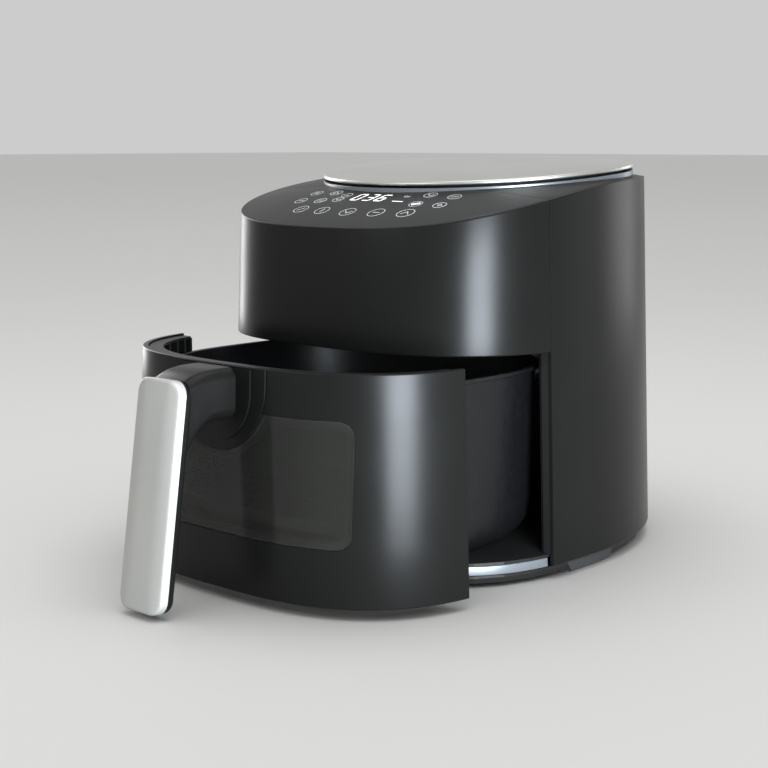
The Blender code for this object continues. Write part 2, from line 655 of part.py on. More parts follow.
def coil_points():
    """The element's path: up-turned end, flat spiral inwards, up-turned end."""
    steps = int(ELEMENT_TURNS * 20)
    flat = []
    for i in range(steps + 1):
        share = i / steps
        a = 2 * math.pi * ELEMENT_TURNS * share
        r = ELEMENT_OUTER + (ELEMENT_INNER - ELEMENT_OUTER) * share
        flat.append(Vector((r * math.cos(a), FAN_Y + r * math.sin(a), ELEMENT_Z)))
    rise, bend = SHIELD_TOP + 0.004 - ELEMENT_Z, 0.008
    start, end = flat[0], flat[-1]
    first = start + (start - flat[1]).normalized() * bend + Vector((0, 0, bend))
    last = end + (end - flat[-2]).normalized() * bend + Vector((0, 0, bend))
    top = Vector((0, 0, rise - bend))
    return [first + top, first + top / 2, first] + flat + [last, last + top / 2, last + top]


def tube(name, points, radius, parent, kind):
    curve = bpy.data.curves.new(name, "CURVE")
    curve.dimensions = "3D"
    curve.bevel_depth = radius
    curve.bevel_resolution = 1
    curve.use_fill_caps = True
    spline = curve.splines.new("POLY")
    spline.points.add(len(points) - 1)
    for target, point in zip(spline.points, points):
        target.co = (*point, 1)
    curve.materials.append(finish(name, kind))
    obj = bpy.data.objects.new(name, curve)
    bpy.context.collection.objects.link(obj)
    obj.parent = parent


def around_fan(radius, degrees):
    a = math.radians(degrees)
    return radius * math.sin(a), FAN_Y + radius * math.cos(a)


CUTOUT_PLACE = around_fan(0.079, 225)
SENSOR_PLACE = around_fan(0.079, 135)


def build_chamber(frame):
    path = coil_points()
    tube("heating_element", path, ELEMENT_TUBE, frame, "dark_steel")
    inner_wall, crown = CHAMBER_OPENING, SHIELD_TOP - SHEET
    shield = piece("heat_shield", turned([
        (inner_wall + 0.006, SHIELD_Z), (inner_wall + 0.006, SHIELD_Z + SHEET), (inner_wall + SHEET, SHIELD_Z + SHEET),
        (inner_wall - 0.002, SHIELD_TOP), (SHAFT_RADIUS + 0.004, SHIELD_TOP), (SHAFT_RADIUS + 0.004, crown),
        (inner_wall - 0.003, crown), (inner_wall, SHIELD_Z)], 32, True, (0, FAN_Y)), frame, "aluminium")
    hole = ELEMENT_TUBE + 0.0010
    holes = [turned([(hole, crown - 0.01), (hole, SHIELD_TOP + 0.01)], 12, centre=(p.x, p.y))
             for p in (path[0], path[-1])]
    holes.append(turned([(0.0026, crown - 0.01), (0.0026, SHIELD_TOP + 0.01)], 12, centre=SENSOR_PLACE))
    shape_with(shield, combined(holes))

    low, middle = ELEMENT_Z + ELEMENT_TUBE + GAP, ELEMENT_OUTER - 0.006
    bracket = piece("element_bracket", turned([
        (middle - 0.002, low), (middle + 0.002, low), (middle + 0.002, low + SHEET), (middle - 0.002, low + SHEET)],
        24, True, (0, FAN_Y)), frame, "zinc_steel")
    posts = []
    for degrees in (70, 180, 290):
        x, y = around_fan(middle, degrees)
        posts.append(box((x - 0.0015, y - 0.0015, low + SHEET / 2), (x + 0.0015, y + 0.0015, crown - GAP)))
    shape_with(bracket, combined(posts), "UNION")

    guard = piece("element_guard", turned([(CHAMBER_OPENING - 0.0015, SHIELD_Z + 0.0013),
                                           (CHAMBER_OPENING - 0.0015, SHIELD_Z + 0.0013 + SHEET)],
                                          32, centre=(0, FAN_Y)), frame, "steel")
    slots = []
    for inner, outer, count in ((0.020, 0.044, 6), (0.050, 0.088, 12)):
        for i in range(count):
            start, end = 2 * math.pi * (i + 0.12) / count, 2 * math.pi * (i + 0.88) / count
            corners = [(inner, start), (outer, start), (outer, (start + end) / 2), (outer, end), (inner, end)]
            plan = [(r * math.sin(a), FAN_Y + r * math.cos(a)) for r, a in corners]
            slots.append(loft([[(x, y, z) for x, y in plan] for z in (SHIELD_Z, SHIELD_Z + 0.01)]))
    shape_with(guard, combined(slots))

    piece("thermal_cutout", turned([(0.008, SHIELD_TOP + GAP), (0.008, SHIELD_TOP + 0.009)], 16, centre=CUTOUT_PLACE),
          frame, "black_part")
    piece("temperature_sensor", turned([
        (0.0020, crown - 0.016), (0.0020, SHIELD_TOP + GAP), (0.0050, SHIELD_TOP + GAP), (0.0050, SHIELD_TOP + 0.009)],
        12, centre=SENSOR_PLACE), frame, "steel")


def blade_set(count, inner, outer, z0, z1, sweep):
    """Upright blades round an axis, each leaning back by sweep radians from root to tip."""
    blades = []
    for i in range(count):
        a = 2 * math.pi * i / count
        root = Vector((inner * math.cos(a), inner * math.sin(a), 0))
        tip = Vector((outer * math.cos(a + sweep), outer * math.sin(a + sweep), 0))
        side = (tip - root).normalized().cross(Vector((0, 0, 1))) * BLADE_THICKNESS
        plan = [root - side, tip - side, tip + side, root + side]
        blades.append(loft([[(p.x, p.y, z) for p in plan] for z in (z0, z1)]))
    return combined(blades)


MOTOR_Z = SHIELD_TOP + 0.0220
FAN_DISC_Z = SHIELD_TOP - SHEET - 0.0090


def build_motor(frame, rotor):
    piece("motor", turned([
        (SHAFT_RADIUS + 0.0008, MOTOR_Z), (0.012, MOTOR_Z), (0.012, MOTOR_Z + 0.003), (MOTOR_RADIUS, MOTOR_Z + 0.005),
        (MOTOR_RADIUS, MOTOR_Z + MOTOR_HEIGHT - 0.004), (0.015, MOTOR_Z + MOTOR_HEIGHT),
        (SHAFT_RADIUS + 0.0008, MOTOR_Z + MOTOR_HEIGHT)], 24, True, (0, FAN_Y)), frame, "steel")
    strap_low, strap_top = MOTOR_Z - 0.0020, MOTOR_Z - GAP
    side = [(-0.0760, SHIELD_TOP + GAP), (-0.0740, SHIELD_TOP + GAP), (-0.0740, strap_low), (0.0740, strap_low),
            (0.0740, SHIELD_TOP + GAP), (0.0760, SHIELD_TOP + GAP), (0.0760, strap_top), (-0.0760, strap_top)]
    bracket = piece("motor_bracket", prism(side, FAN_Y - 0.012, FAN_Y + 0.012), frame, "zinc_steel")
    shape_with(bracket, turned([(0.0080, strap_low - 0.01), (0.0080, strap_top + 0.01)], 16, centre=(0, FAN_Y)))

    disc = FAN_DISC_Z
    fan = piece("hot_air_fan", turned([
        (SHAFT_RADIUS + GAP, disc - 0.004), (0.0100, disc - 0.004), (0.0100, disc), (FAN_RADIUS, disc),
        (FAN_RADIUS, disc + SHEET), (SHAFT_RADIUS + GAP, disc + SHEET)], 24, True), rotor, "aluminium")
    shape_with(fan, blade_set(FAN_BLADES, 0.022, FAN_RADIUS - 0.001, disc - 0.0080, disc + 0.0004, 0.5), "UNION")
    cooling = SHIELD_TOP + 0.0050
    blower = piece("cooling_fan", turned([
        (SHAFT_RADIUS + GAP, cooling), (COOLING_FAN_RADIUS, cooling), (COOLING_FAN_RADIUS, cooling + 0.0010),
        (0.0120, cooling + 0.0010), (0.0120, cooling + 0.0110), (SHAFT_RADIUS + GAP, cooling + 0.0110)],
        24, True), rotor, "satin_black")
    shape_with(blower, blade_set(COOLING_BLADES, 0.018, COOLING_FAN_RADIUS - 0.002, cooling + 0.0006,
                                 cooling + 0.0100, 0.35), "UNION")
    end = disc - 0.0110
    piece("motor_shaft", turned([(SHAFT_RADIUS, end), (SHAFT_RADIUS, MOTOR_Z + MOTOR_HEIGHT + 0.003)], 16),
          rotor, "steel")
    piece("fan_nut", turned([(SHAFT_RADIUS + GAP, end + 0.002), (0.0072, end + 0.002), (0.0072, disc - 0.0043),
                             (SHAFT_RADIUS + GAP, disc - 0.0043)], 12, True), rotor, "zinc_steel")


# ---------------------------------------------------------------- rear services
def build_services(frame):
    gap = 0.0004
    below, above = OUTLET_BOTTOM - 0.0125, OUTLET_TOP + 0.0125
    grille = piece("air_outlet", wall(HOUSING, [
        (0.0, below), (0.0, above), (0.0024, above), (0.0024, below)],
        lambda inset, z: (math.radians(160), math.radians(200)), 10), frame, "satin_black")
    shape_with(grille, prism(outlet_outline(gap), REAR_DEPTH - 0.02, REAR_DEPTH + 0.02), "INTERSECT")
    pitch = (OUTLET_TOP - OUTLET_BOTTOM) / (OUTLET_SLOTS + 0.6)
    slots = []
    for i in range(OUTLET_SLOTS):
        z = OUTLET_BOTTOM + pitch * (i + 0.55)
        outline = rounded_rectangle(-OUTLET_HALF_WIDTH + 0.005, OUTLET_HALF_WIDTH - 0.005, z, z + pitch * 0.5, 0.0010, 1)
        slots.append(prism(outline, REAR_DEPTH - 0.02, REAR_DEPTH + 0.02))
    shape_with(grille, combined(slots))

    outer, inner = outlet_outline(0.0015), outlet_outline(0.0030)
    y0, y1 = BAY_REAR + BAY_WALL + 0.0035, REAR_DEPTH - 0.0075
    piece("exhaust_duct", loft([[(x, y, z) for x, z in ring] for ring, y in (
        (outer, y0), (outer, y1), (inner, y1), (inner, y0))], along=True), frame, "satin_black")

    surface = HOUSING.point(0, INLET_Z - INLET_FLANGE, math.pi)[1]
    inlet = [[(r * math.cos(2 * math.pi * i / 20), y, INLET_Z + r * math.sin(2 * math.pi * i / 20)) for i in range(20)]
             for r, y in ((INLET_RADIUS, surface - 0.012), (INLET_RADIUS, surface + 0.0003),
                          (INLET_FLANGE, surface + 0.0003), (INLET_FLANGE - 0.001, surface + 0.0023),
                          (0.0045, surface + 0.0023), (0.0045, surface - 0.012))]
    piece("cord_inlet", loft(inlet, along=True), frame, "rubber")

    y0, level = FAN_Y + CHAMBER_OPENING + 0.0140, SHIELD_Z + 0.0325
    width, depth = POWER_BOARD_SIZE
    piece("power_board", box((-width / 2, y0, level), (width / 2, y0 + depth, level + BOARD_THICKNESS)), frame,
          "green_board")
    top = level + BOARD_THICKNESS + GAP
    piece("transformer", box((-0.040, y0 + 0.005, top), (-0.016, y0 + 0.027, top + 0.018)), frame, "black_part")
    piece("capacitor", turned([(0.0065, top), (0.0065, top + 0.020)], 16, centre=(0.018, y0 + 0.014)),
          frame, "black_part")


def rear_y(oval, inset):
    """Where an outline crosses the plunger's line behind the plan origin."""
    width, depth, power = oval.sizes(inset, PLUNGER_Z, False)
    return depth * (1 - (PLUNGER_X / width) ** power) ** (1 / power)


def build_switch(frame, plunger):
    back = rear_y(BAY, BAY_INSET - BAY_WALL) + SWITCH_CLEARANCE
    tip = back - SWITCH_CLEARANCE - BAY_WALL - PLUNGER_REACH
    width, depth, height = SWITCH_SIZE
    switch = piece("drawer_switch", box((PLUNGER_X - width / 2, back, PLUNGER_Z - height / 2),
                                        (PLUNGER_X + width / 2, back + depth, PLUNGER_Z + height / 2)),
                   frame, "black_part")
    shape_with(switch, rod_y(PLUNGER_X, PLUNGER_Z, PLUNGER_RADIUS + 0.0004, back - 0.01, back + 0.009))
    piece("switch_plunger", rod_y(PLUNGER_X, PLUNGER_Z, PLUNGER_RADIUS, tip, back + 0.005), plunger, "satin_grey")
    return tip


# ---------------------------------------------------------------- drawer
def window_outline(inset):
    """Window with round corners and a round notch in its top edge that clears the handle's cover."""
    half, low, high = WINDOW_HALF_WIDTH - inset, WINDOW_BOTTOM + inset, WINDOW_TOP - inset
    corner, notch = WINDOW_RADIUS - inset * 0.5, HUB_RADIUS + inset
    reach = math.acos((HUB_Z - high) / notch)
    arc = [(notch * math.sin(reach * (1 - i / 6)), HUB_Z - notch * math.cos(reach * (1 - i / 6))) for i in range(13)]
    frame = rounded_rectangle(-half, half, low, high, corner)
    return frame[:12] + arc + frame[12:]


def hub_outline(radius, centre_z, top):
    """Straight sides down from the top, closed below by a half circle."""
    arc = [(radius * math.sin(math.radians(a)), centre_z - radius * math.cos(math.radians(a)))
           for a in range(-90, 91, 15)]
    return arc + [(radius, top), (-radius, top)]


def front_plate(inset_out, inset_in, low, high, half_angle=52, steps=28):
    """A curved slab just ahead of or behind the drawer's outer face, to be trimmed to an outline."""
    half = math.radians(half_angle)
    return wall(HOUSING, [(inset_out, low), (inset_out, high), (inset_in, high), (inset_in, low)],
                lambda inset, z: (-half, half), steps)


def handle_screw_holes():
    return combined([rod_y(x, HANDLE_SCREW_Z, SCREW_RADIUS + 0.0004, -FRONT_DEPTH - 0.0123, -FRONT_DEPTH + 0.03)
                     for x in (-HANDLE_SCREW_X, HANDLE_SCREW_X)])


def build_drawer_front(drawer):
    low, middle, high = DRAWER_BOTTOM, (DRAWER_BOTTOM + DRAWER_TOP + 0.001) / 2, DRAWER_TOP
    span = front_span(HOUSING, SEAM_Y - GAP / 2)
    front = piece("drawer_front", wall(HOUSING, [
        (EDGE, low), (0.0, low + EDGE), (0.0, middle), (0.0, high - EDGE), (EDGE, high),
        (DRAWER_WALL, high), (DRAWER_WALL, middle), (DRAWER_WALL, low)], span, FRONT_STEPS), drawer, "gloss_black")
    shape_with(front, prism(window_outline(0), CUT_AHEAD, CUT_BEHIND))
    shape_with(front, handle_screw_holes())
    below, above = WINDOW_BOTTOM - 0.016, WINDOW_TOP + 0.014
    pane = piece("window_pane", front_plate(0.0004, 0.0004 + PANE_THICKNESS, below, above, 62), drawer,
                 "smoked_glass")
    shape_with(pane, prism(window_outline(0.0004), CUT_AHEAD, CUT_BEHIND), "INTERSECT")
    gasket = piece("window_gasket", front_plate(0.0007 + PANE_THICKNESS, DRAWER_WALL, below, above, 62),
                   drawer, "rubber")
    shape_with(gasket, prism(window_outline(0.0006), CUT_AHEAD, CUT_BEHIND), "INTERSECT")
    shape_with(gasket, prism(window_outline(0.0045), CUT_AHEAD - 0.01, CUT_BEHIND + 0.01))

    wall_in = DRAWER_WALL + GAP
    back = HALF_WIDTH - BOWL_HALF_WIDTH - 0.0012
    low, high = DRAWER_UNDERSIDE, DRAWER_TOP - 0.0012
    frame = piece("drawer_frame", wall(HOUSING, [
        (wall_in, low), (wall_in, high), (back - 0.003, high), (back - 0.003, high - 0.0020),
        (wall_in + 0.0022, high - 0.0020), (wall_in + 0.0022, low + 0.0020), (back, low + 0.0020), (back, low)],
        front_span(HOUSING, SEAM_Y - 0.0020), FRONT_STEPS), drawer, "satin_black")
    ribs = []
    for step in (0.0033, 0.0108, 0.0198, 0.0308):
        y = SEAM_Y - step
        outer = HOUSING.half_width * (1 - abs(y / FRONT_DEPTH) ** FRONT_POWER) ** (1 / FRONT_POWER)
        ribs.append(box((outer - back - 0.0005 + 0.0012, y - 0.0008, low + 0.0010),
                        (outer - wall_in - 0.0012, y + 0.0008, high - 0.0010)))
    shape_with(frame, combined([mirrored(rib) for rib in ribs]), "UNION")
    shape_with(frame, prism(rounded_rectangle(
        -WINDOW_HALF_WIDTH + 0.007, WINDOW_HALF_WIDTH - 0.007, WINDOW_BOTTOM + 0.005, WINDOW_TOP - 0.0055, 0.006, 3),
        CUT_AHEAD, CUT_BEHIND))
    shape_with(frame, handle_screw_holes())


def glass_outline(inset):
    return rounded_rectangle(-GLASS_HALF_WIDTH + inset, GLASS_HALF_WIDTH - inset, GLASS_BOTTOM + inset,
                             GLASS_TOP - inset, 0.008, 3)


def build_bowl(drawer):
    rim, low, skin = BOWL_RIM_Z, BOWL_BOTTOM_Z, BOWL_WALL
    outer = [(0.0300, low), (0.0170, low + 0.0035), (0.0085, low + 0.0130), (0.0055, low + 0.0300),
             (0.0030, rim - 0.0030), (0.0000, rim - 0.0030), (0.0000, rim)]
    inner = [(0.0030 + skin, rim), (0.0055 + skin, low + 0.0300), (0.0085 + skin, low + 0.0135),
             (0.0170 + skin, low + 0.0050), (0.0305, low + skin)]
    bowl = piece("drawer_bowl", solid_oval(BOWL, outer + inner, 40), drawer, "nonstick")
    shape_with(bowl, prism(glass_outline(GLASS_LAP), CUT_AHEAD, -BOWL_FRONT + 0.06))

    lean = 0.0025 / (rim - low - 0.033)        # the wall moves in by this much per metre going down

    def ahead(distance, z):
        return 0.0055 - lean * (z - low - 0.030) - distance

    def slab_between(near, far):
        below, above = GLASS_BOTTOM - 0.006, GLASS_TOP + 0.005
        points = [(ahead(far, below), below), (ahead(far, above), above), (ahead(near, above), above),
                  (ahead(near, below), below)]
        return wall(BOWL, points, lambda inset, z: (-math.radians(58), math.radians(58)), 24)
    seal = piece("glass_seal", slab_between(0.0004, 0.0022), drawer, "grey_silicone")
    shape_with(seal, prism(glass_outline(-0.0005), CUT_AHEAD, CUT_BEHIND), "INTERSECT")
    shape_with(seal, prism(glass_outline(SEAL_WIDTH - 0.0005), CUT_AHEAD - 0.01, CUT_BEHIND + 0.01))
    glass = piece("inner_glass", slab_between(0.0025, 0.0025 + INNER_GLASS_THICKNESS), drawer, "clear_glass")
    shape_with(glass, prism(glass_outline(0.0), CUT_AHEAD, CUT_BEHIND), "INTERSECT")


def build_striker(drawer, tip):
    width, height = STRIKER_SIZE
    piece("switch_striker", box((PLUNGER_X - width / 2, rear_y(BOWL, 0.0) + 0.0012, PLUNGER_Z - height / 2),
                                (PLUNGER_X + width / 2, tip - STRIKER_GAP, PLUNGER_Z + height / 2)),
          drawer, "satin_black")


# ---------------------------------------------------------------- handle
def handle_ring(inset, depth, corner):
    """The grip's outline moved in by inset, at a depth behind its tilted front face."""
    half = HANDLE_WIDTH / 2 - inset
    length = (HANDLE_TOP - HANDLE_BOTTOM) / math.cos(HANDLE_TILT)
    outline = rounded_rectangle(-half, half, -length + inset, -inset, max(corner - inset, 0.002), 5)
    place = Matrix.Translation((0, HANDLE_FACE_Y, HANDLE_TOP)) @ Matrix.Rotation(-HANDLE_TILT, 4, "X")
    return [tuple(place @ Vector((x, depth, z))) for x, z in outline]


def build_handle(drawer):
    corner = 0.0105
    thick = HANDLE_PLATE_THICKNESS
    piece("handle_plate", loft([
        handle_ring(0.0022, 0.0, corner), handle_ring(0.0008, 0.0005, corner), handle_ring(0.0, 0.0020, corner),
        handle_ring(0.0, thick, corner)]), drawer, "painted_silver")
    near, far = thick + GAP, thick + HANDLE_BODY_THICKNESS
    body = piece("handle_body", loft([
        handle_ring(0.0006, near, corner), handle_ring(0.0006, near + 0.0030, corner),
        handle_ring(0.0022, far - 0.0012, corner), handle_ring(0.0045, far, corner)]), drawer, "gloss_black")
    sections = []
    face = HOUSING.point(-HUB_PROUD - GAP, ARM_UNDERSIDE, 0)[1]
    for y, low, high, half in (
            (face, ARM_UNDERSIDE, ARM_TOP, ARM_HALF_WIDTH),
            (face - 0.0110, ARM_UNDERSIDE, ARM_TOP, ARM_HALF_WIDTH - 0.0006),
            (face - 0.0200, ARM_UNDERSIDE - 0.0010, ARM_TOP - 0.0004, ARM_HALF_WIDTH - 0.0010),
            (face - 0.0280, ARM_UNDERSIDE - 0.0050, ARM_TOP - 0.0010, ARM_HALF_WIDTH - 0.0012),
            (face - 0.0340, ARM_UNDERSIDE - 0.0110, ARM_TOP - 0.0016, ARM_HALF_WIDTH - 0.0014),
            (HANDLE_FACE_Y + thick + 0.0030, ARM_UNDERSIDE - 0.0240, ARM_TOP - 0.0060, ARM_HALF_WIDTH - 0.0020)):
        sections.append([(x, y, z) for x, z in rounded_rectangle(-half, half, low, high, ARM_RADIUS)])
    shape_with(body, loft(sections), "UNION")
    flange = hidden_tool("handle_flange", front_plate(
        -HUB_PROUD - 0.0020, -HUB_PROUD - GAP, ARM_UNDERSIDE - 0.026, ARM_TOP - 0.0007, 30, 12),
                         drawer)
    shape_with(flange, prism(hub_outline(FLANGE_RADIUS, FLANGE_Z, ARM_TOP + 0.01), CUT_AHEAD, CUT_BEHIND),
               "INTERSECT")
    shape_with(body, flange, "UNION")
    hub = piece("handle_hub", front_plate(
        -HUB_PROUD, -GAP, HUB_Z - HUB_RADIUS - 0.0125, DRAWER_TOP - 0.0004, 36, 24), drawer, "gloss_black")
    shape_with(hub, prism(hub_outline(HUB_RADIUS - GAP, HUB_Z, DRAWER_TOP + 0.01), CUT_AHEAD, CUT_BEHIND),
               "INTERSECT")
    shape_with(hub, handle_screw_holes())
    shape_with(body, handle_screw_holes())
    head = -FRONT_DEPTH + 0.0066
    for name, x in (("handle_screw_left", -HANDLE_SCREW_X), ("handle_screw_right", HANDLE_SCREW_X)):
        shank = [rod_ring(x, HANDLE_SCREW_Z, SCREW_RADIUS, y) for y in (-FRONT_DEPTH - 0.0103, head)]
        cap = [rod_ring(x, HANDLE_SCREW_Z, SCREW_HEAD, y) for y in (head, head + 0.0024)]
        piece(name, loft(shank + cap), drawer, "zinc_steel")


# ---------------------------------------------------------------- crisper plate
def build_plate(plate):
    disc = piece("crisper_plate", solid_oval(BOWL, [
        (PLATE_INSET + 0.0008, PLATE_Z), (PLATE_INSET, PLATE_Z + 0.0008),
        (PLATE_INSET, PLATE_Z + PLATE_THICKNESS)], 36), plate, "nonstick")
    holes = []
    for row in range(-3, 4):
        for column in range(-3, 4):
            x = (column + 0.5 * (row % 2)) * PLATE_HOLE_PITCH
            y = row * PLATE_HOLE_PITCH * math.sin(math.radians(60))
            if math.hypot(x, y) < BOWL_HALF_WIDTH - 0.045:
                holes.append(turned([(PLATE_HOLE_RADIUS, PLATE_Z - 0.01), (PLATE_HOLE_RADIUS, PLATE_Z + 0.01)],
                                    8, centre=(x, y)))
    shape_with(disc, combined(holes))
    for name, x, y in (("plate_foot_1", -PLATE_FOOT_X, -PLATE_FOOT_Y), ("plate_foot_2", PLATE_FOOT_X, -PLATE_FOOT_Y),
                       ("plate_foot_3", PLATE_FOOT_X, PLATE_FOOT_Y), ("plate_foot_4", -PLATE_FOOT_X, PLATE_FOOT_Y)):
        foot = [(PLATE_FOOT_RADIUS - 0.001, BOWL_BOTTOM_Z + BOWL_WALL + GAP), (PLATE_FOOT_RADIUS, PLATE_Z - GAP)]
        piece(name, turned(foot, 12, centre=(x, y)), plate, "grey_silicone")


# ---------------------------------------------------------------- assembly
def main():
    for obj in list(bpy.data.objects):
        bpy.data.objects.remove(obj, do_unlink=True)
    grip_length = (HANDLE_TOP - HANDLE_BOTTOM) * math.tan(HANDLE_TILT)
    front_y = HANDLE_FACE_Y - grip_length - DRAWER_OUT
    rear_y = HOUSING.point(0, INLET_Z - INLET_FLANGE, math.pi)[1] + 0.0023
    housing = empty("housing", location=(0, -(front_y + rear_y) / 2, 0))
    drawer = empty("drawer", housing, (0, -DRAWER_OUT, 0))
    plate = empty("plate", drawer)
    rotor = empty("rotor", housing, (0, FAN_Y, 0))
    plunger = empty("plunger", housing)
    build_base(housing)
    build_shells(housing)
    build_top(housing)
    build_controls(housing)
    build_bay(housing)
    build_chamber(housing)
    build_motor(housing, rotor)
    build_services(housing)
    tip = build_switch(housing, plunger)
    build_drawer_front(drawer)
    build_bowl(drawer)
    build_striker(drawer, tip)
    build_handle(drawer)
    build_plate(plate)


main()
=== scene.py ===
# %% [markdown]
# # An air fryer with its drawer part open
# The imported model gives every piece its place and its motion.  This script gives the visible pieces their
# fine surfaces and every piece its finish.  The housing, the drawer and the lid are all cut from oval plans,
# so most shapes here are one formula for an oval, carried up a profile and computed with numpy.

# %% Load the frame
import math

import bmesh
import bpy
import numpy as np
from mathutils import Euler, Matrix, Vector


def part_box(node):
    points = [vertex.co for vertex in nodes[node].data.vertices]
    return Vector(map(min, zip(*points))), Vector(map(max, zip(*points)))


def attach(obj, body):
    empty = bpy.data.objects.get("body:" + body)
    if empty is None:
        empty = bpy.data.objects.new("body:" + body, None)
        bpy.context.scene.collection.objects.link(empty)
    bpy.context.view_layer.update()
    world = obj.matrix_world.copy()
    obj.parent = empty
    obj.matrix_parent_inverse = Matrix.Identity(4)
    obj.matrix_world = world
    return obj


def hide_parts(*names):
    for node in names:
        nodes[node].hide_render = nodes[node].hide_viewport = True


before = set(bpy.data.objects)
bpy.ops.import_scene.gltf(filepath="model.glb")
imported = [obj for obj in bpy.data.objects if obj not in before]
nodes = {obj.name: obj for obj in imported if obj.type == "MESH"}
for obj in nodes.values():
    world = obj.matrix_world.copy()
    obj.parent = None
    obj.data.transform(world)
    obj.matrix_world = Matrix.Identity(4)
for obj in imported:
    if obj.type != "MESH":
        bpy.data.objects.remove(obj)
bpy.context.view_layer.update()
MM = 0.001
print("frame holds", len(nodes), "nodes")

# %% [markdown]
# ## Where the plan starts
# All ovals share one plan origin, the widest point of the housing.  The seam between the front and the rear
# shell is a known distance ahead of it, so the seam's place in the frame gives the origin.  The drawer's
# wings end at the same seam when it is shut, so their place gives how far the drawer stands open.

# %% Plan origins read from the frame
SEAM = -48.2 * MM
HALF_GAP = 0.15 * MM
plan_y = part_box("rear_shell")[0][1] - SEAM - HALF_GAP
drawer_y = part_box("drawer_front")[1][1] - SEAM + HALF_GAP
print("plan origin at y", round(plan_y, 4), "drawer origin at y", round(drawer_y, 4))

# %% [markdown]
# ## The oval
# A superellipse is a circle whose power is not 2: |x/a|^n + |y/b|^n = 1.  A higher power makes it squarer,
# which is why the front looks like a soft box and the back like an egg.  The moulded shells also widen
# towards the floor, so that they leave their mould, and that draft is a scale that grows as z falls.

# %% Outline function
DATUM = 162.9 * MM
HOUSING = dict(half=145 * MM, front=137.7 * MM, rear=180.7 * MM, front_power=2.89, rear_power=2.09, draft=0.2317,
               centre=0.0)
BOWL = dict(half=127.5 * MM, front=120.2 * MM, rear=120 * MM, front_power=2.89, rear_power=2.6, draft=0.0, centre=0.0)
LID = dict(half=128.1 * MM, front=120.8 * MM, rear=75 * MM, front_power=2.13, rear_power=2.13, draft=0.0,
           centre=53.6 * MM)


def outline(oval, angle, inset=0.0, z=DATUM):
    """Points (x, y) of an oval moved in by inset at height z.  Angle 0 is the front, 90 degrees is +X.

    The radius at an angle is (|sin/a|^n + |cos/b|^n)^(-1/n), with b and n of the front or the rear half.
    """
    across, along = np.sin(angle), -np.cos(angle)
    scale = 1 + oval["draft"] * (DATUM - z)
    half = oval["half"] * scale - inset
    depth = np.where(along < 0, oval["front"], oval["rear"]) * scale - inset
    power = np.where(along < 0, oval["front_power"], oval["rear_power"])
    radius = (np.abs(across / half) ** power + np.abs(along / depth) ** power) ** (-1 / power)
    return across * radius, oval["centre"] + along * radius


def angle_at(oval, y, inset=0.0, z=DATUM):
    """Angle on the right side where the oval crosses the plane y: x = a(1 - |y/b|^n)^(1/n), then its bearing."""
    scale = 1 + oval["draft"] * (DATUM - z)
    local = y - oval["centre"]
    side = "front" if local < 0 else "rear"
    depth, power = oval[side] * scale - inset, oval[side + "_power"]
    x = (oval["half"] * scale - inset) * (1 - np.abs(local / depth) ** power) ** (1 / power)
    return np.arctan2(x, -local)


# %% [markdown]
# ## The top of the housing
# The shells end in a top edge that falls in a shallow curve towards the front.  Inside it the cover rises in
# a low crown, and the lid lies on a plane that tips forward by five degrees.

# %% Height functions
TOP_LEVEL = 275.9 * MM
TOP_SLOPE, TOP_SAG = 0.124, 0.62
CROWN = 8.5 * MM
LID_LEVEL = 286.7 * MM
LID_SLOPE = math.tan(math.radians(5.06))


def top_edge(x, y):
    """Height of the shells' top edge, a sloping parabola in y: z = z0 + slope y - sag y^2."""
    return TOP_LEVEL + TOP_SLOPE * y - TOP_SAG * y * y + 0 * x


def top_surface(x, y):
    """The top edge plus a crown that fades as 1 - (distance to the edge)^2."""
    scale = 1 + HOUSING["draft"] * (DATUM - TOP_LEVEL)
    depth = np.where(y < 0, HOUSING["front"], HOUSING["rear"]) * scale
    power = np.where(y < 0, HOUSING["front_power"], HOUSING["rear_power"])
    reach = (np.abs(x / (HOUSING["half"] * scale)) ** power + np.abs(y / depth) ** power) ** (2 / power)
    return top_edge(x, y) + CROWN * (1 - np.minimum(reach, 1))


def lid_plane(y, rise=0.0):
    """The lid's tilted underside, or a plane that is rise above it."""
    return LID_LEVEL + (y - LID["centre"]) * LID_SLOPE + rise


# %% [markdown]
# ## From arrays to a mesh
# A surface here is an array of points, rows by columns.  One helper joins neighbours into quads, closes the
# rows or the columns where the surface comes round to itself, and caps what is left open.

# %% Grid helpers
SAME_POINT = 1e-6
SEAM_BEVEL = 0.4 * MM
CORNER_STEPS = 4


def skin(points, around=True, along=False, caps=True):
    """Mesh of quads over a (rows, columns, 3) array; around closes the columns, along closes the rows."""
    rows, columns = points.shape[:2]
    index = np.arange(rows * columns).reshape(rows, columns)
    if around:
        index = np.hstack([index, index[:, :1]])
    if along:
        index = np.vstack([index, index[:1]])
    quads = np.stack([index[:-1, :-1], index[:-1, 1:], index[1:, 1:], index[1:, :-1]], -1).reshape(-1, 4)
    faces = quads.tolist()
    if caps and not along:
        faces += [index[0, :columns].tolist(), index[-1, :columns].tolist()]
    if caps and not around:
        faces += [index[:rows, 0].tolist(), index[:rows, -1].tolist()]
    data = bpy.data.meshes.new("skin")
    data.from_pydata(points.reshape(-1, 3).tolist(), [], faces)
    shape = bmesh.new()
    shape.from_mesh(data)
    bmesh.ops.remove_doubles(shape, verts=shape.verts, dist=SAME_POINT)
    bmesh.ops.recalc_face_normals(shape, faces=shape.faces)
    shape.to_mesh(data)
    shape.free()
    return data


def whole(inset, z, columns):
    """Angles all the way round, with no bevel anywhere."""
    return np.linspace(0, 2 * math.pi, columns, endpoint=False), np.zeros(columns)


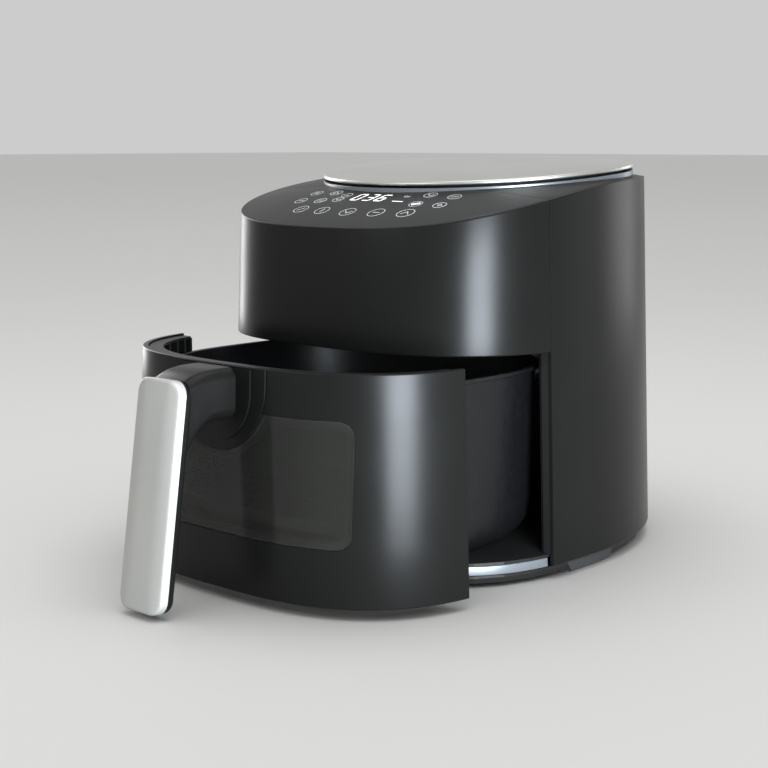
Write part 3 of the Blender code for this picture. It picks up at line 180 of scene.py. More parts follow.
def between(oval, y, rear=False):
    """Angles from the plane y round to the plane y again, and how far each column is bevelled in."""
    def angles(inset, z, columns):
        away = SEAM_BEVEL if rear else -SEAM_BEVEL
        start, second = angle_at(oval, y, inset, z), angle_at(oval, y + away, inset, z)
        turn = 2 * math.pi if rear else 0.0
        inner = np.linspace(second, turn - second, columns - 2) if rear else np.linspace(-second, second, columns - 2)
        ends = (start, turn - start) if rear else (-start, start)
        cut = np.zeros(columns)
        cut[[0, -1]] = SEAM_BEVEL
        return np.concatenate([ends[:1], inner, ends[1:]]), cut
    return angles


def ring(oval, inset, height, angles, columns, bevelled=True):
    """One row of points: the oval at an inset and at a height, which is a number or a function of x and y."""
    level = TOP_LEVEL if callable(height) else height
    angle, cut = angles(inset, level, columns)
    inset = inset + (cut if bevelled else 0)
    x, y = outline(oval, angle, inset, level)
    z = np.broadcast_to(height(x, y) if callable(height) else height, x.shape)
    if callable(height):
        x, y = outline(oval, angle, inset, z)
    return np.stack([x, y, z], -1)


def carried(oval, profile, angles=whole, columns=240, closed=True):
    """A profile of (inset, height) points carried along an oval; closed joins its last point to its first."""
    deepest = max(inset for inset, _ in profile)
    rows = [ring(oval, inset, height, angles, columns, inset < deepest / 2) for inset, height in profile]
    return skin(np.stack(rows), around=angles is whole, along=closed)


def corner(inset, z, radius, start, end):
    """Points of a rounded corner about (inset, z); 0 degrees points inwards and 90 degrees up."""
    turn = np.radians(np.linspace(start, end, CORNER_STEPS + 1))
    return [(inset + radius * math.cos(a), z + radius * math.sin(a)) for a in turn]


def rectangle(x0, x1, z0, z1, radius, steps=10):
    """Outline (x, z) of a rectangle whose corners are quarter circles."""
    turn = np.radians(np.concatenate([np.linspace(s, s + 90, steps + 1) for s in (-90, 0, 90, 180)]))
    cx = np.repeat([x1 - radius, x1 - radius, x0 + radius, x0 + radius], steps + 1)
    cz = np.repeat([z0 + radius, z1 - radius, z1 - radius, z0 + radius], steps + 1)
    return np.column_stack([cx + radius * np.cos(turn), cz + radius * np.sin(turn)])


def prism(xz, y0, y1):
    """An (x, z) outline carried from y0 to y1."""
    return skin(np.stack([np.column_stack([xz[:, 0], np.full(len(xz), y), xz[:, 1]]) for y in (y0, y1)]))


# %% [markdown]
# ## Objects that ride
# A finished piece sits at the origin with its place in its mesh, so its mesh is moved by the plan origin
# rather than the object.  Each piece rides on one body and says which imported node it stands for.

# %% Object helpers
SHARP_TURN = math.radians(35)


def place(name, data, body, slot, origin_y, stands_for=()):
    """Makes a mesh a named object on a body, with a finish from MATERIALS, smooth but for its sharp turns."""
    data.transform(Matrix.Translation((0, origin_y, 0)))
    obj = bpy.data.objects.new(name, data)
    bpy.context.collection.objects.link(obj)
    data.materials.clear()
    data.materials.append(MATERIALS[slot])
    data.shade_smooth()
    data.set_sharp_from_angle(angle=SHARP_TURN)
    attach(obj, body)
    if stands_for:
        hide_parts(*stands_for)
    print(name, len(data.polygons), "faces")
    return obj


def shaped(data, tool, operation="DIFFERENCE"):
    """Cuts one mesh with another, or keeps what both share, with an exact boolean."""
    first, second = (bpy.data.objects.new("shape", m) for m in (data, tool))
    for obj in (first, second):
        bpy.context.collection.objects.link(obj)
    cut = first.modifiers.new("cut", "BOOLEAN")
    cut.operation, cut.object, cut.solver = operation, second, "EXACT"
    bpy.context.view_layer.update()
    result = bpy.data.meshes.new_from_object(first.evaluated_get(bpy.context.evaluated_depsgraph_get()))
    for obj in (first, second):
        bpy.data.objects.remove(obj)
    return result


def bevelled(obj, width, angle=40):
    """A real bevel on the sharp edges of a cut piece."""
    bevel = obj.modifiers.new("bevel", "BEVEL")
    bevel.width, bevel.segments, bevel.limit_method = width, 2, "ANGLE"
    bevel.angle_limit = math.radians(angle)
    bevel.harden_normals = True
    return obj


# %% [markdown]
# ## Finishes
# Each finish starts from its real material: what it is and how its surface was made.  Colours are the sRGB
# hex values that a colour chart would give, turned to the linear values that a shader needs.  Nearly every
# surface here is moulded, rolled, brushed or sprayed, so one recipe serves: broad noise shifts the colour and
# the roughness a little, as handling and moulding do, and fine noise is the grain that the tool left.

# %% Material helpers
def linear(code):
    """sRGB hex to linear RGBA: c/12.92 below 0.04045, else ((c + 0.055)/1.055)^2.4."""
    value = np.array([int(code[i:i + 2], 16) for i in (1, 3, 5)]) / 255
    value = np.where(value <= 0.04045, value / 12.92, ((value + 0.055) / 1.055) ** 2.4)
    return (*value.tolist(), 1.0)


def add(tree, kind, links=None, properties=None, **inputs):
    """Adds one shader node with its properties and input values, and links inputs to (node, output) pairs."""
    node = tree.nodes.new(kind)
    for key, value in (properties or {}).items():
        setattr(node, key, value)
    for key, value in inputs.items():
        node.inputs[key.replace("_", " ")].default_value = value
    for key, (source, output) in (links or {}).items():
        tree.links.new(source.outputs[output], node.inputs[key])
    return node


def finish(name, colour, roughness, metallic=0.0, mottle=0.05, mottle_mm=22.0, grain_mm=0.5, grain=0.02,
           stretch=(1, 1, 1), **shader):
    """A surface with broad mottle mottle_mm across and grain grain_mm across, drawn out along an axis by stretch."""
    material = bpy.data.materials.new(name)
    material.use_nodes = True
    tree = material.node_tree
    principled = tree.nodes["Principled BSDF"]
    where = add(tree, "ShaderNodeTexCoord")
    broad = add(tree, "ShaderNodeTexNoise", {"Vector": (where, "Object")}, Scale=1000 / mottle_mm, Detail=3.0)
    drawn = add(tree, "ShaderNodeMapping", {"Vector": (where, "Object")}, Scale=stretch)
    fine = add(tree, "ShaderNodeTexNoise", {"Vector": (drawn, "Vector")}, Scale=1000 / grain_mm, Detail=2.0)
    rough = add(tree, "ShaderNodeMapRange", {"Value": (broad, "Fac")}, From_Min=0.3, From_Max=0.7,
                To_Min=roughness * (1 - mottle), To_Max=roughness * (1 + mottle))
    base = linear(colour)
    tint = add(tree, "ShaderNodeMix", {"Factor": (broad, "Fac")}, dict(data_type="RGBA"))
    tint.inputs[6].default_value = (*(c * (1 - mottle) for c in base[:3]), 1)
    tint.inputs[7].default_value = (*(min(1, c * (1 + mottle)) for c in base[:3]), 1)
    bump = add(tree, "ShaderNodeBump", {"Height": (fine, "Fac")}, Strength=grain, Distance=grain_mm * MM)
    tree.links.new(tint.outputs[2], principled.inputs["Base Color"])
    tree.links.new(rough.outputs["Result"], principled.inputs["Roughness"])
    tree.links.new(bump.outputs["Normal"], principled.inputs["Normal"])
    principled.inputs["Metallic"].default_value = metallic
    for key, value in shader.items():
        principled.inputs[key.replace("_", " ")].default_value = value
    return material


# %% [markdown]
# ### Plastics
# The shells are ABS moulded in a polished tool: near black, with a soft gloss that has a slight long wave from
# cooling.  The frame behind the drawer front is the same plastic from a spark-textured tool, which scatters
# light.  The base, the feet and the drawer bay are duller again.  The room here is paler than a studio with dark
# corners, so the black skins have a low specular level, which keeps them from going grey.

# %% Plastic and rubber finishes
MATERIALS = {
    "gloss_black_plastic": finish("polished_black_abs", "#0d0d0c", 0.31, mottle=0.05, mottle_mm=40, grain_mm=6.0,
                                  grain=0.004, Specular_IOR_Level=0.13),
    "satin_black_plastic": finish("spark_textured_black_abs", "#141413", 0.42, grain_mm=0.6, grain=0.12,
                                  Specular_IOR_Level=0.25),
    "matt_black_plastic": finish("matt_black_abs", "#0e0e0e", 0.62, grain_mm=0.7, grain=0.15, Specular_IOR_Level=0.25),
    "component_black": finish("black_phenolic_moulding", "#1a1a1b", 0.5, grain_mm=0.6, grain=0.1),
    "component_grey": finish("grey_nylon_moulding", "#8d9092", 0.45, grain_mm=0.6, grain=0.08),
    "rubber": finish("moulded_black_rubber", "#151515", 0.78, grain_mm=0.9, grain=0.2),
    # The silicone is partly its own grey and partly a painted highlight: it is light enough that the seal round the
    # window shows as the thin light line that the window's edge catches.
    "silicone": finish("grey_silicone_with_painted_highlight", "#62625c", 0.58, grain_mm=0.9, grain=0.1,
                       Subsurface_Weight=0.05, Subsurface_Radius=(0.001, 0.001, 0.001)),
    "touch_panel": finish("hard_coated_touch_panel", "#272727", 0.36, mottle=0.04, mottle_mm=40, grain_mm=0.8,
                          grain=0.02, Specular_IOR_Level=0.12),
}

# %% [markdown]
# ### Metals and metal paints
# The lid is aluminium brushed in one direction, so its grain is drawn out along X: the noise is about thirty
# times as long that way as across.  The grip is plastic sprayed with silver paint, whose flakes are far smaller
# than the view can show, so they are drawn 0.4 mm across.  Stampings inside are rolled or zinc-coated sheet.

# %% Metal finishes
MATERIALS |= {
    "brushed_silver": finish("brushed_aluminium_lid", "#c9cac5", 0.34, 1.0, mottle=0.06, mottle_mm=60,
                             grain_mm=0.45, grain=0.10, stretch=(0.03, 1, 1)),
    "painted_silver": finish("silver_sprayed_grip", "#b2b2ae", 0.44, 0.6, mottle=0.04, mottle_mm=35, grain_mm=0.4,
                             grain=0.06),
    "satin_grey_trim": finish("satin_grey_painted_band", "#6c7074", 0.36, 0.6, grain_mm=0.5, grain=0.04),
    "nonstick_coating": finish("ptfe_coated_aluminium", "#0a0a0b", 0.36, mottle=0.14, mottle_mm=6,
                               grain_mm=0.8, grain=0.10, Specular_IOR_Level=0.25),
    "steel": finish("cold_rolled_steel", "#a9a8a4", 0.34, 1.0, mottle=0.1, grain_mm=0.6, grain=0.06,
                    stretch=(1, 0.1, 1)),
    "zinc_steel": finish("zinc_plated_steel", "#b4b8bb", 0.38, 1.0, mottle=0.16, mottle_mm=8, grain_mm=0.8,
                         grain=0.05),
    "dark_steel": finish("black_oxide_steel", "#3a3936", 0.48, 0.9, mottle=0.14, mottle_mm=14, grain_mm=0.7,
                         grain=0.08),
    "element_sheath": finish("heat_tinted_element_sheath", "#54483c", 0.42, 0.9, mottle=0.25, mottle_mm=16,
                             grain_mm=0.6, grain=0.08),
    "aluminium_sheet": finish("rolled_aluminium_sheet", "#c4c4c1", 0.30, 1.0, mottle=0.08, grain_mm=0.6,
                              grain=0.05, stretch=(0.1, 1, 1)),
}

# %% [markdown]
# ### Glass
# The outer pane is tinted dark, so it is a mirror for the room and only hints at what is behind it.  A full
# refracting glass would be lost in its own shadow in so thin a gap, so a glossy dark surface with an alpha
# below one stands for it: the share that alpha leaves out is what passes straight through.

# %% Glass finishes
MATERIALS["smoked_glass"] = finish("smoked_tempered_glass", "#20201d", 0.09, mottle=0.03, mottle_mm=60,
                                   grain_mm=12.0, grain=0.003, Alpha=0.45, Specular_IOR_Level=0.3)
# The bevel finish is a painted highlight: a flat light grey for the light that the pane's edge catches.
MATERIALS["ground_edge"] = finish("painted_highlight_glass_edge", "#8a8a82", 0.35, grain_mm=0.5, grain=0.05)
MATERIALS["clear_glass"] = finish("clear_tempered_glass", "#2a2d2c", 0.05, mottle=0.03, mottle_mm=60,
                                  grain_mm=12.0, grain=0.003, Alpha=0.3, Specular_IOR_Level=0.4)

# %% [markdown]
# ### Electronics
# A circuit board is green lacquer over copper tracks.  The tracks run square to each other, so a brick pattern
# with thin joints gives them.  The display is a dark lens, and its figures and marks are lit.

# %% Board and display finishes
TRACK_CELL_MM = 7.5
board = finish("green_lacquered_board", "#12492a", 0.38, grain_mm=0.8, grain=0.05)
tree = board.node_tree
tracks = add(tree, "ShaderNodeTexBrick", {"Vector": (tree.nodes["Texture Coordinate"], "Object")},
             Scale=1000 / TRACK_CELL_MM, Mortar_Size=0.05, Color1=linear("#12492a"), Color2=linear("#164f2e"),
             Mortar=linear("#3d8a4c"))
tree.links.new(tracks.outputs["Color"], tree.nodes["Principled BSDF"].inputs["Base Color"])
MATERIALS["circuit_board"] = board
MATERIALS["display"] = finish("dark_display_lens", "#0c0c0d", 0.2, mottle=0.03)


def lit(name, colour, strength):
    """A printed mark that light from behind comes through."""
    return finish(name, colour, 0.5, mottle=0.05, mottle_mm=6, Emission_Color=linear(colour),
                  Emission_Strength=strength)


MATERIALS["lit_mark"] = lit("lit_print", "#b4b6b6", 0.30)
MATERIALS["lit_figure"] = lit("lit_figures", "#f4f4f4", 0.9)
print(len(MATERIALS), "finishes")

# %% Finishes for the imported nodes
for name, obj in nodes.items():
    slot = obj.material_slots[0].material.name.split(".")[0]
    obj.material_slots[0].material = MATERIALS[slot]

# %% [markdown]
# ## Camera, light and floor
# A glossy black machine is best lit by large soft panels, because gloss shows the lamps and not the light that
# falls on it.  The camera stands 1.15 m away, 42 degrees to the right, and looks down a little.  A tall panel at
# the right gives the bright line down the front corner, and a low one beside it carries that line down the drawer.
# Panels at the left, the front and the back draw the other edges, and one overhead fills the top.

# %% Camera, lights and floor
scene = bpy.context.scene
camera = bpy.data.objects.new("camera", bpy.data.cameras.new("camera"))
camera.location = (0.7740, -0.8565, 0.3085)
camera.rotation_euler = Euler((math.radians(81.05), 0, math.radians(42.33)))
camera.data.lens = 72.34
camera.data.sensor_width = 36
bpy.context.collection.objects.link(camera)
scene.camera = camera

FLOOR_REACH = 30.0
floor_corners = FLOOR_REACH * np.array([[[-1, -1, 0], [1, -1, 0]], [[-1, 1, 0], [1, 1, 0]]], float)
floor_data = skin(floor_corners, around=False, caps=False)
floor_data.materials.append(finish("matt_white_floor", "#e2e2e0", 0.7, mottle=0.01, mottle_mm=400))
floor = bpy.data.objects.new("floor", floor_data)
bpy.context.collection.objects.link(floor)

# The side panels are there for the gloss alone.  The floor is left out of their light and has a wide panel of its
# own, so it stays even.
gloss_only = bpy.data.collections.new("gloss_only")
gloss_only.objects.link(floor)
gloss_only.collection_objects[0].light_linking.link_state = "EXCLUDE"
floor_only = bpy.data.collections.new("floor_only")
floor_only.objects.link(floor)

AIM = (0, 0, 0.15)
COOL = "#e6f0fa"


def softbox(name, bearing, distance, height, width, tall, power, colour="#ffffff", lit=gloss_only):
    """A rectangular area light aimed at the machine, its bearing in degrees from the front towards +X.

    lit is a collection that says what it lights, or None for everything.
    """
    data = bpy.data.lights.new(name, "AREA")
    data.shape = "RECTANGLE"
    data.size, data.size_y, data.energy = width, tall, power
    data.color = linear(colour)[:3]
    lamp = bpy.data.objects.new(name, data)
    turn = math.radians(bearing)
    lamp.location = (distance * math.sin(turn), -distance * math.cos(turn), height)
    lamp.rotation_euler = (Vector(AIM) - lamp.location).to_track_quat("-Z", "Y").to_euler()
    lamp.visible_camera = False
    lamp.light_linking.receiver_collection = lit
    bpy.context.collection.objects.link(lamp)


# Bearing in degrees, then distance, height, width and tallness in metres, and power in watts.
softbox("panel_right", 66, 1.3, 0.40, 0.50, 0.8, 12, COOL)
softbox("panel_low", 64, 0.58, 0.15, 0.20, 0.34, 12, COOL)
softbox("panel_left", -100, 1.2, 0.45, 0.30, 0.9, 6)
softbox("panel_front", -20, 1.5, 0.90, 0.8, 0.8, 4)
softbox("panel_back", 161, 1.35, 0.45, 0.5, 0.8, 3)
softbox("panel_top", 135, 0.12, 1.6, 1.3, 1.1, 8, lit=None)
softbox("panel_floor", 0, 0.01, 6.0, 8.0, 8.0, 70, lit=floor_only)

world = bpy.data.worlds.new("pale_room")
world.use_nodes = True
world.node_tree.nodes["Background"].inputs["Color"].default_value = linear("#f2f2f2")
world.node_tree.nodes["Background"].inputs["Strength"].default_value = 0.68
scene.world = world
scene.view_settings.view_transform = "Standard"

print("camera at", tuple(round(v, 4) for v in camera.location))

# %% [markdown]
# ## Outer shells
# The rear shell is one moulding from the seam round the back to the seam.  The front shell hangs over the
# drawer and turns in under itself as a lip.  Both have a millimetre of roundness along every free edge, where
# the light catches, and a fine bevel where they meet, which is what makes the seam a crisp dark line.  A few
# levels between top and bottom carry the draft up the wall.

# %% Rear shell
WALL = 2.8 * MM
EDGE = 1.0 * MM
SHELL_BOTTOM = 10.5 * MM
UPPER_BOTTOM = DATUM


def edge_height(drop):
    """The shells' top edge lowered by drop, as a function of x and y."""
    return lambda x, y: top_edge(x, y) - drop


def rounded_top(inset, radius, start, end):
    """A corner like corner(), but carried along the sloping top edge, radius below it."""
    turn = np.radians(np.linspace(start, end, CORNER_STEPS + 1))
    return [(inset + radius * math.cos(a), edge_height(radius - radius * math.sin(a))) for a in turn]


REAR_LEVELS, FRONT_LEVELS, DRAWER_LEVELS = (0.06, 0.11, 0.16, 0.21), (0.18, 0.21), (0.05, 0.09, 0.13)
rear_profile = (corner(EDGE, SHELL_BOTTOM + EDGE, EDGE, 270, 180)
                + [(0, z) for z in REAR_LEVELS]
                + rounded_top(EDGE, EDGE, 180, 90)
                + [(WALL, edge_height(0)), (WALL, 0.21), (WALL, 0.11), (WALL, SHELL_BOTTOM)])
rear = carried(HOUSING, rear_profile, between(HOUSING, SEAM + HALF_GAP, rear=True), 260)
OUTLET_HALF, OUTLET_LOW, OUTLET_HIGH, OUTLET_CORNER = 35 * MM, 102.5 * MM, 152.5 * MM, 4 * MM
INLET_HEIGHT, INLET_HOLE = 40 * MM, 9.3 * MM
THROUGH_REAR = (155 * MM, 205 * MM)
rear = shaped(rear, prism(rectangle(-OUTLET_HALF, OUTLET_HALF, OUTLET_LOW, OUTLET_HIGH, OUTLET_CORNER), *THROUGH_REAR))
turn = np.linspace(0, 2 * math.pi, 48, endpoint=False)
inlet = np.column_stack([INLET_HOLE * np.cos(turn), INLET_HEIGHT + INLET_HOLE * np.sin(turn)])
rear = shaped(rear, prism(inlet, *THROUGH_REAR))
place("rear_housing_shell", rear, "housing", "gloss_black_plastic", plan_y, ["rear_shell"])

# %% Front shell
LIP = 2.5 * MM
LIP_INSET = 9.0 * MM
front_profile = (corner(EDGE, UPPER_BOTTOM + EDGE, EDGE, 270, 180)
                 + [(0, z) for z in FRONT_LEVELS]
                 + rounded_top(EDGE, EDGE, 180, 90)
                 + [(WALL, edge_height(0)), (WALL, UPPER_BOTTOM + LIP), (LIP_INSET, UPPER_BOTTOM + LIP),
                    (LIP_INSET, UPPER_BOTTOM)])
front = carried(HOUSING, front_profile, between(HOUSING, SEAM - HALF_GAP), 200)
place("front_housing_shell", front, "housing", "gloss_black_plastic", plan_y, ["front_shell"])

# %% [markdown]
# ## Base trim
# A thin painted band closes the front of the base under the drawer.  It is a strip 6.5 mm high with soft edges.

# %% Base trim
TRIM_INSET, TRIM_THICK, TRIM_LOW, TRIM_HIGH = 5.0 * MM, 2.5 * MM, 9.0 * MM, 15.5 * MM
TRIM_ROUND, TRIM_GAP = 0.7 * MM, 0.3 * MM
near, far = TRIM_INSET + TRIM_ROUND, TRIM_INSET + TRIM_THICK
trim_profile = (corner(near, TRIM_LOW + TRIM_ROUND, TRIM_ROUND, 270, 180)
                + corner(near, TRIM_HIGH - TRIM_ROUND, TRIM_ROUND, 180, 90) + [(far, TRIM_HIGH), (far, TRIM_LOW)])
place("front_trim_band", carried(HOUSING, trim_profile, between(HOUSING, SEAM - TRIM_GAP), 160), "housing",
      "satin_grey_trim", plan_y, ["base_trim"])

# %% [markdown]
# ## Drawer front
# The drawer front is the lower half of the same oval, cut by a window with round corners.  The window's top edge
# steps down round the disc behind the handle, so its outline is a rounded rectangle less a circle.

# %% Window outline
HUB_HEIGHT, HUB_RADIUS = 149.5 * MM, 47.0 * MM
WINDOW_HALF, WINDOW_LOW, WINDOW_HIGH, WINDOW_CORNER = 107 * MM, 46 * MM, 131 * MM, 10 * MM
WINDOW_STEPS = 12
THROUGH_FRONT = (-180 * MM, -30 * MM)


def window(inset):
    """Outline (x, z) of the window moved in by inset: a rounded rectangle with a circular notch in its top.

    The circle meets the top edge at the angle acos((centre - top) / radius) on either side of straight down.
    """
    half, low, high = WINDOW_HALF - inset, WINDOW_LOW + inset, WINDOW_HIGH - inset
    notch = HUB_RADIUS + inset
    reach = math.acos((HUB_HEIGHT - high) / notch)
    sweep = np.linspace(reach, -reach, 33)
    arc = np.column_stack([notch * np.sin(sweep), HUB_HEIGHT - notch * np.cos(sweep)])
    frame_points = rectangle(-half, half, low, high, WINDOW_CORNER - inset * 0.5, WINDOW_STEPS)
    split = 2 * (WINDOW_STEPS + 1)
    return np.vstack([frame_points[:split], arc, frame_points[split:]])


# %% Drawer front
DRAWER_LOW, DRAWER_HIGH, DRAWER_WALL = 7.5 * MM, 161.5 * MM, 3.8 * MM
drawer_profile = (corner(EDGE, DRAWER_LOW + EDGE, EDGE, 270, 180) + [(0, z) for z in DRAWER_LEVELS]
                  + corner(EDGE, DRAWER_HIGH - EDGE, EDGE, 180, 90)
                  + [(DRAWER_WALL, DRAWER_HIGH), (DRAWER_WALL, 0.09), (DRAWER_WALL, DRAWER_LOW)])
drawer = carried(HOUSING, drawer_profile, between(HOUSING, SEAM - HALF_GAP), 220)
drawer = shaped(drawer, prism(window(0), *THROUGH_FRONT))
place("drawer_front_panel", drawer, "drawer", "gloss_black_plastic", drawer_y, ["drawer_front"])


# %% [markdown]
# The pane is the same oval set back a little, kept only inside the window's outline.  Its bevel takes the second
# finish, a flat light grey that paints the edge's highlight as a thin light line round the window.

# %% Window pane
def slab(near, far, low, high, half_degrees, columns=160):
    """A curved slab between two insets of the housing's oval, open at its ends by half_degrees from the front."""
    half = math.radians(half_degrees)

    def fan(inset, z, count):
        return np.linspace(-half, half, count), np.zeros(count)
    rows = [ring(HOUSING, inset, z, fan, columns)
            for inset, z in ((near, low), (near, high), (far, high), (far, low))]
    return skin(np.stack(rows), around=False, along=True)


PANE_OUTSIDE, PANE_INSIDE, PANE_GAP, PANE_BEVEL = 0.4 * MM, 2.9 * MM, 0.5 * MM, 0.6 * MM
pane = slab(PANE_OUTSIDE, PANE_INSIDE, 30 * MM, 145 * MM, 62)
pane = shaped(pane, prism(window(PANE_GAP), *THROUGH_FRONT), "INTERSECT")
glass = place("window_glass", pane, "drawer", "smoked_glass", drawer_y, ["window_pane"])
glass.data.materials.append(MATERIALS["ground_edge"])
bevelled(glass, PANE_BEVEL).modifiers["bevel"].material = 1

# %% [markdown]
# ## The cover round the lid
# The black cover fills the housing inside the shells' edge.  It rises over the crown to a low plinth whose top
# lies a shadow gap below the lid.  Its rows are blends between the housing's oval and the lid's oval.

# %% Top cover
COVER_INSET = 3.1 * MM
COVER_THICK = 2.5 * MM
COVER_HEM = 4.0 * MM
SHADOW_GAP = 1.8 * MM
PLINTH = 4.0 * MM
PLINTH_FOOT = SHADOW_GAP + 3.0 * MM
ROUND = 240


def lid_row(grown, rise):
    """The lid's outline grown outwards, on the lid's plane raised by rise."""
    return ring(LID, -grown, lambda x, y: lid_plane(y, rise), whole, ROUND)


def blend_row(share, drop):
    """Between the housing's edge (0) and the lid's outline (1), on the crowned surface lowered by drop."""
    outer, inner = ring(HOUSING, COVER_INSET, top_edge, whole, ROUND), lid_row(0, 0)
    x, y = (outer + (inner - outer) * share)[:, :2].T
    return np.stack([x, y, top_surface(x, y) - drop], -1)


cover = skin(np.stack([
    lid_row(-PLINTH - COVER_HEM, -PLINTH_FOOT - COVER_THICK), blend_row(0.97, COVER_THICK + 1 * MM),
    blend_row(0.5, COVER_THICK), blend_row(0, COVER_THICK), blend_row(0, 0.3 * MM),
    *(blend_row(share, 0) for share in (0.1, 0.35, 0.6, 0.8, 1.0)), lid_row(-0.5 * MM, -SHADOW_GAP),
    lid_row(-PLINTH, -SHADOW_GAP), lid_row(-PLINTH, -PLINTH_FOOT), lid_row(-PLINTH - COVER_HEM, -PLINTH_FOOT)]))


# %% [markdown]
# The touch panel is let into the front of the cover.  It runs from the outer edge back to the plinth, or to the
# seam where the plinth is narrower, so its grid is one column per x with rows from front to back.

# %% Touch panel
PANEL_THICK, PANEL_GAP = 1.2 * MM, 0.3 * MM
PANEL_COLUMNS, PANEL_ROWS = 161, 14
PANEL_FRONT_LEVEL = 262 * MM
PANEL_END, PANEL_LEAST = 4 * MM, 2 * MM


def panel_slab(edge_inset, seam_gap, plinth_gap, below, above):
    """Slab under the crowned surface: each column's y runs from the oval's front to the plinth or the seam."""
    end = angle_at(HOUSING, SEAM - PANEL_END, edge_inset, TOP_LEVEL)
    x, y_front = outline(HOUSING, np.linspace(-end, end, PANEL_COLUMNS), edge_inset, PANEL_FRONT_LEVEL)
    width, depth = LID["half"] + plinth_gap, LID["front"] + plinth_gap
    reach = 1 - np.minimum(np.abs(x / width), 1) ** LID["front_power"]
    y_back = np.minimum(SEAM - seam_gap, LID["centre"] - depth * reach ** (1 / LID["front_power"]))
    y_back = np.maximum(y_back, y_front + PANEL_LEAST)
    y = y_front[:, None] + (y_back - y_front)[:, None] * np.linspace(0, 1, PANEL_ROWS)
    x = np.broadcast_to(x[:, None], y.shape)
    top = np.stack([x, y, top_surface(x, y) + above], -1)
    bottom = np.stack([x, y, top_surface(x, y) - below], -1)[:, ::-1]
    return skin(np.concatenate([top, bottom], 1))


pocket = panel_slab(COVER_INSET - 4 * MM, -PANEL_GAP, 0.5 * MM, PANEL_THICK + PANEL_GAP, 3 * MM)
place("crowned_top_cover", shaped(cover, pocket), "housing", "satin_black_plastic", plan_y, ["top_cover"])
panel = panel_slab(COVER_INSET - 0.6 * MM, PANEL_GAP, 1.0 * MM, PANEL_THICK, 0.0)
place("touch_control_panel", panel, "housing", "touch_panel", plan_y, ["control_panel"])

# %% Band round the plinth
# The band's satin grey is partly the trim's own colour and partly a painted highlight: a flat grey strip for the light
# that the rounded rim under the lid catches.
BAND_OUT, BAND_IN, BAND_HEIGHT, BAND_CHAMFER = 0.35 * MM, 0.4 * MM, 3.4 * MM, 0.3 * MM
band_foot = -SHADOW_GAP - BAND_HEIGHT
band = skin(np.stack([lid_row(BAND_OUT, band_foot), lid_row(BAND_OUT, -SHADOW_GAP - BAND_CHAMFER),
                      lid_row(BAND_OUT - BAND_CHAMFER, -SHADOW_GAP), lid_row(-BAND_IN, -SHADOW_GAP),
                      lid_row(-BAND_IN, band_foot)]), along=True)
place("lid_plinth_band_painted_highlight", band, "housing", "satin_grey_trim", plan_y)

# %% [markdown]
# ## Lid
# The lid is a pressed aluminium cap: a rounded rim three millimetres high and a very shallow dome.  The rim's
# round is what draws the bright line along its front edge.

# %% Silver lid
LID_RIM, LID_ROUND = 3.0 * MM, 1.5 * MM
LID_DOME, DOME_START, DOME_REACH = 2.2 * MM, 2.0, 72.0
lid_rows = [lid_row(-1.2 * MM, 0), lid_row(-0.3 * MM, 0.3 * MM), lid_row(0, 0.9 * MM), lid_row(0, LID_ROUND)]
lid_rows += [lid_row(LID_ROUND * (math.cos(a) - 1), LID_ROUND * (1 + math.sin(a)))
             for a in np.radians([18, 36, 54, 72])]
lid_rows += [lid_row(-x * MM, LID_RIM + LID_DOME * (1 - (1 - (x - DOME_START) / DOME_REACH) ** 2))
             for x in (2, 6, 12, 20, 30, 42, 56, 70)]
place("domed_silver_lid", skin(np.stack(lid_rows)), "housing", "brushed_silver", plan_y, ["lid_disc"])

# %% [markdown]
# ## Marks on the touch panel
# The marks are printed and lit from behind.  Each is a thin slab laid on the crowned panel: a ring is two
# circles joined, a stroke is a bar between two points.  The figures are made of the seven bars that every
# digital clock has.  All marks are generic signs: a bar, two bars, a cross, a slash, an angle.

# %% Mark builders
ABOVE, BELOW = 0.06 * MM, 0.04 * MM
marks, figures = [], []


def laid(x, y):
    """Closed slab over paired outer and inner (x, y) rows, just above and below the panel's surface."""
    x, y = np.asarray(x), np.asarray(y)
    top = np.stack([x, y, top_surface(x, y) + ABOVE], -1)
    bottom = np.stack([x, y, top_surface(x, y) - BELOW], -1)
    return np.stack([top[0], top[1], bottom[1], bottom[0]])


def ring_mark(cx, cy, radius, line=0.5):
    """A circle line about (cx, cy), in millimetres."""
    a = np.radians(np.linspace(0, 360, 49))
    radii = (radius, radius - line)
    marks.append(laid([(cx + r * np.cos(a)) * MM for r in radii], [(cy + r * np.sin(a)) * MM for r in radii]))


def stroke(cx, cy, x0, y0, x1, y1, line=0.7, into=marks, lean=0.0):
    """A bar from one point to another about (cx, cy); lean shifts its points along X as they go back."""
    ends = np.array([[cx + x0 + lean * y0, cy + y0], [cx + x1 + lean * y1, cy + y1]])
    along = ends[1] - ends[0]
    side = np.array([-along[1], along[0]]) / np.hypot(*along) * line / 2
    bar = np.stack([ends + side, ends - side]) * MM
    into.append(laid(bar[..., 0], bar[..., 1]))


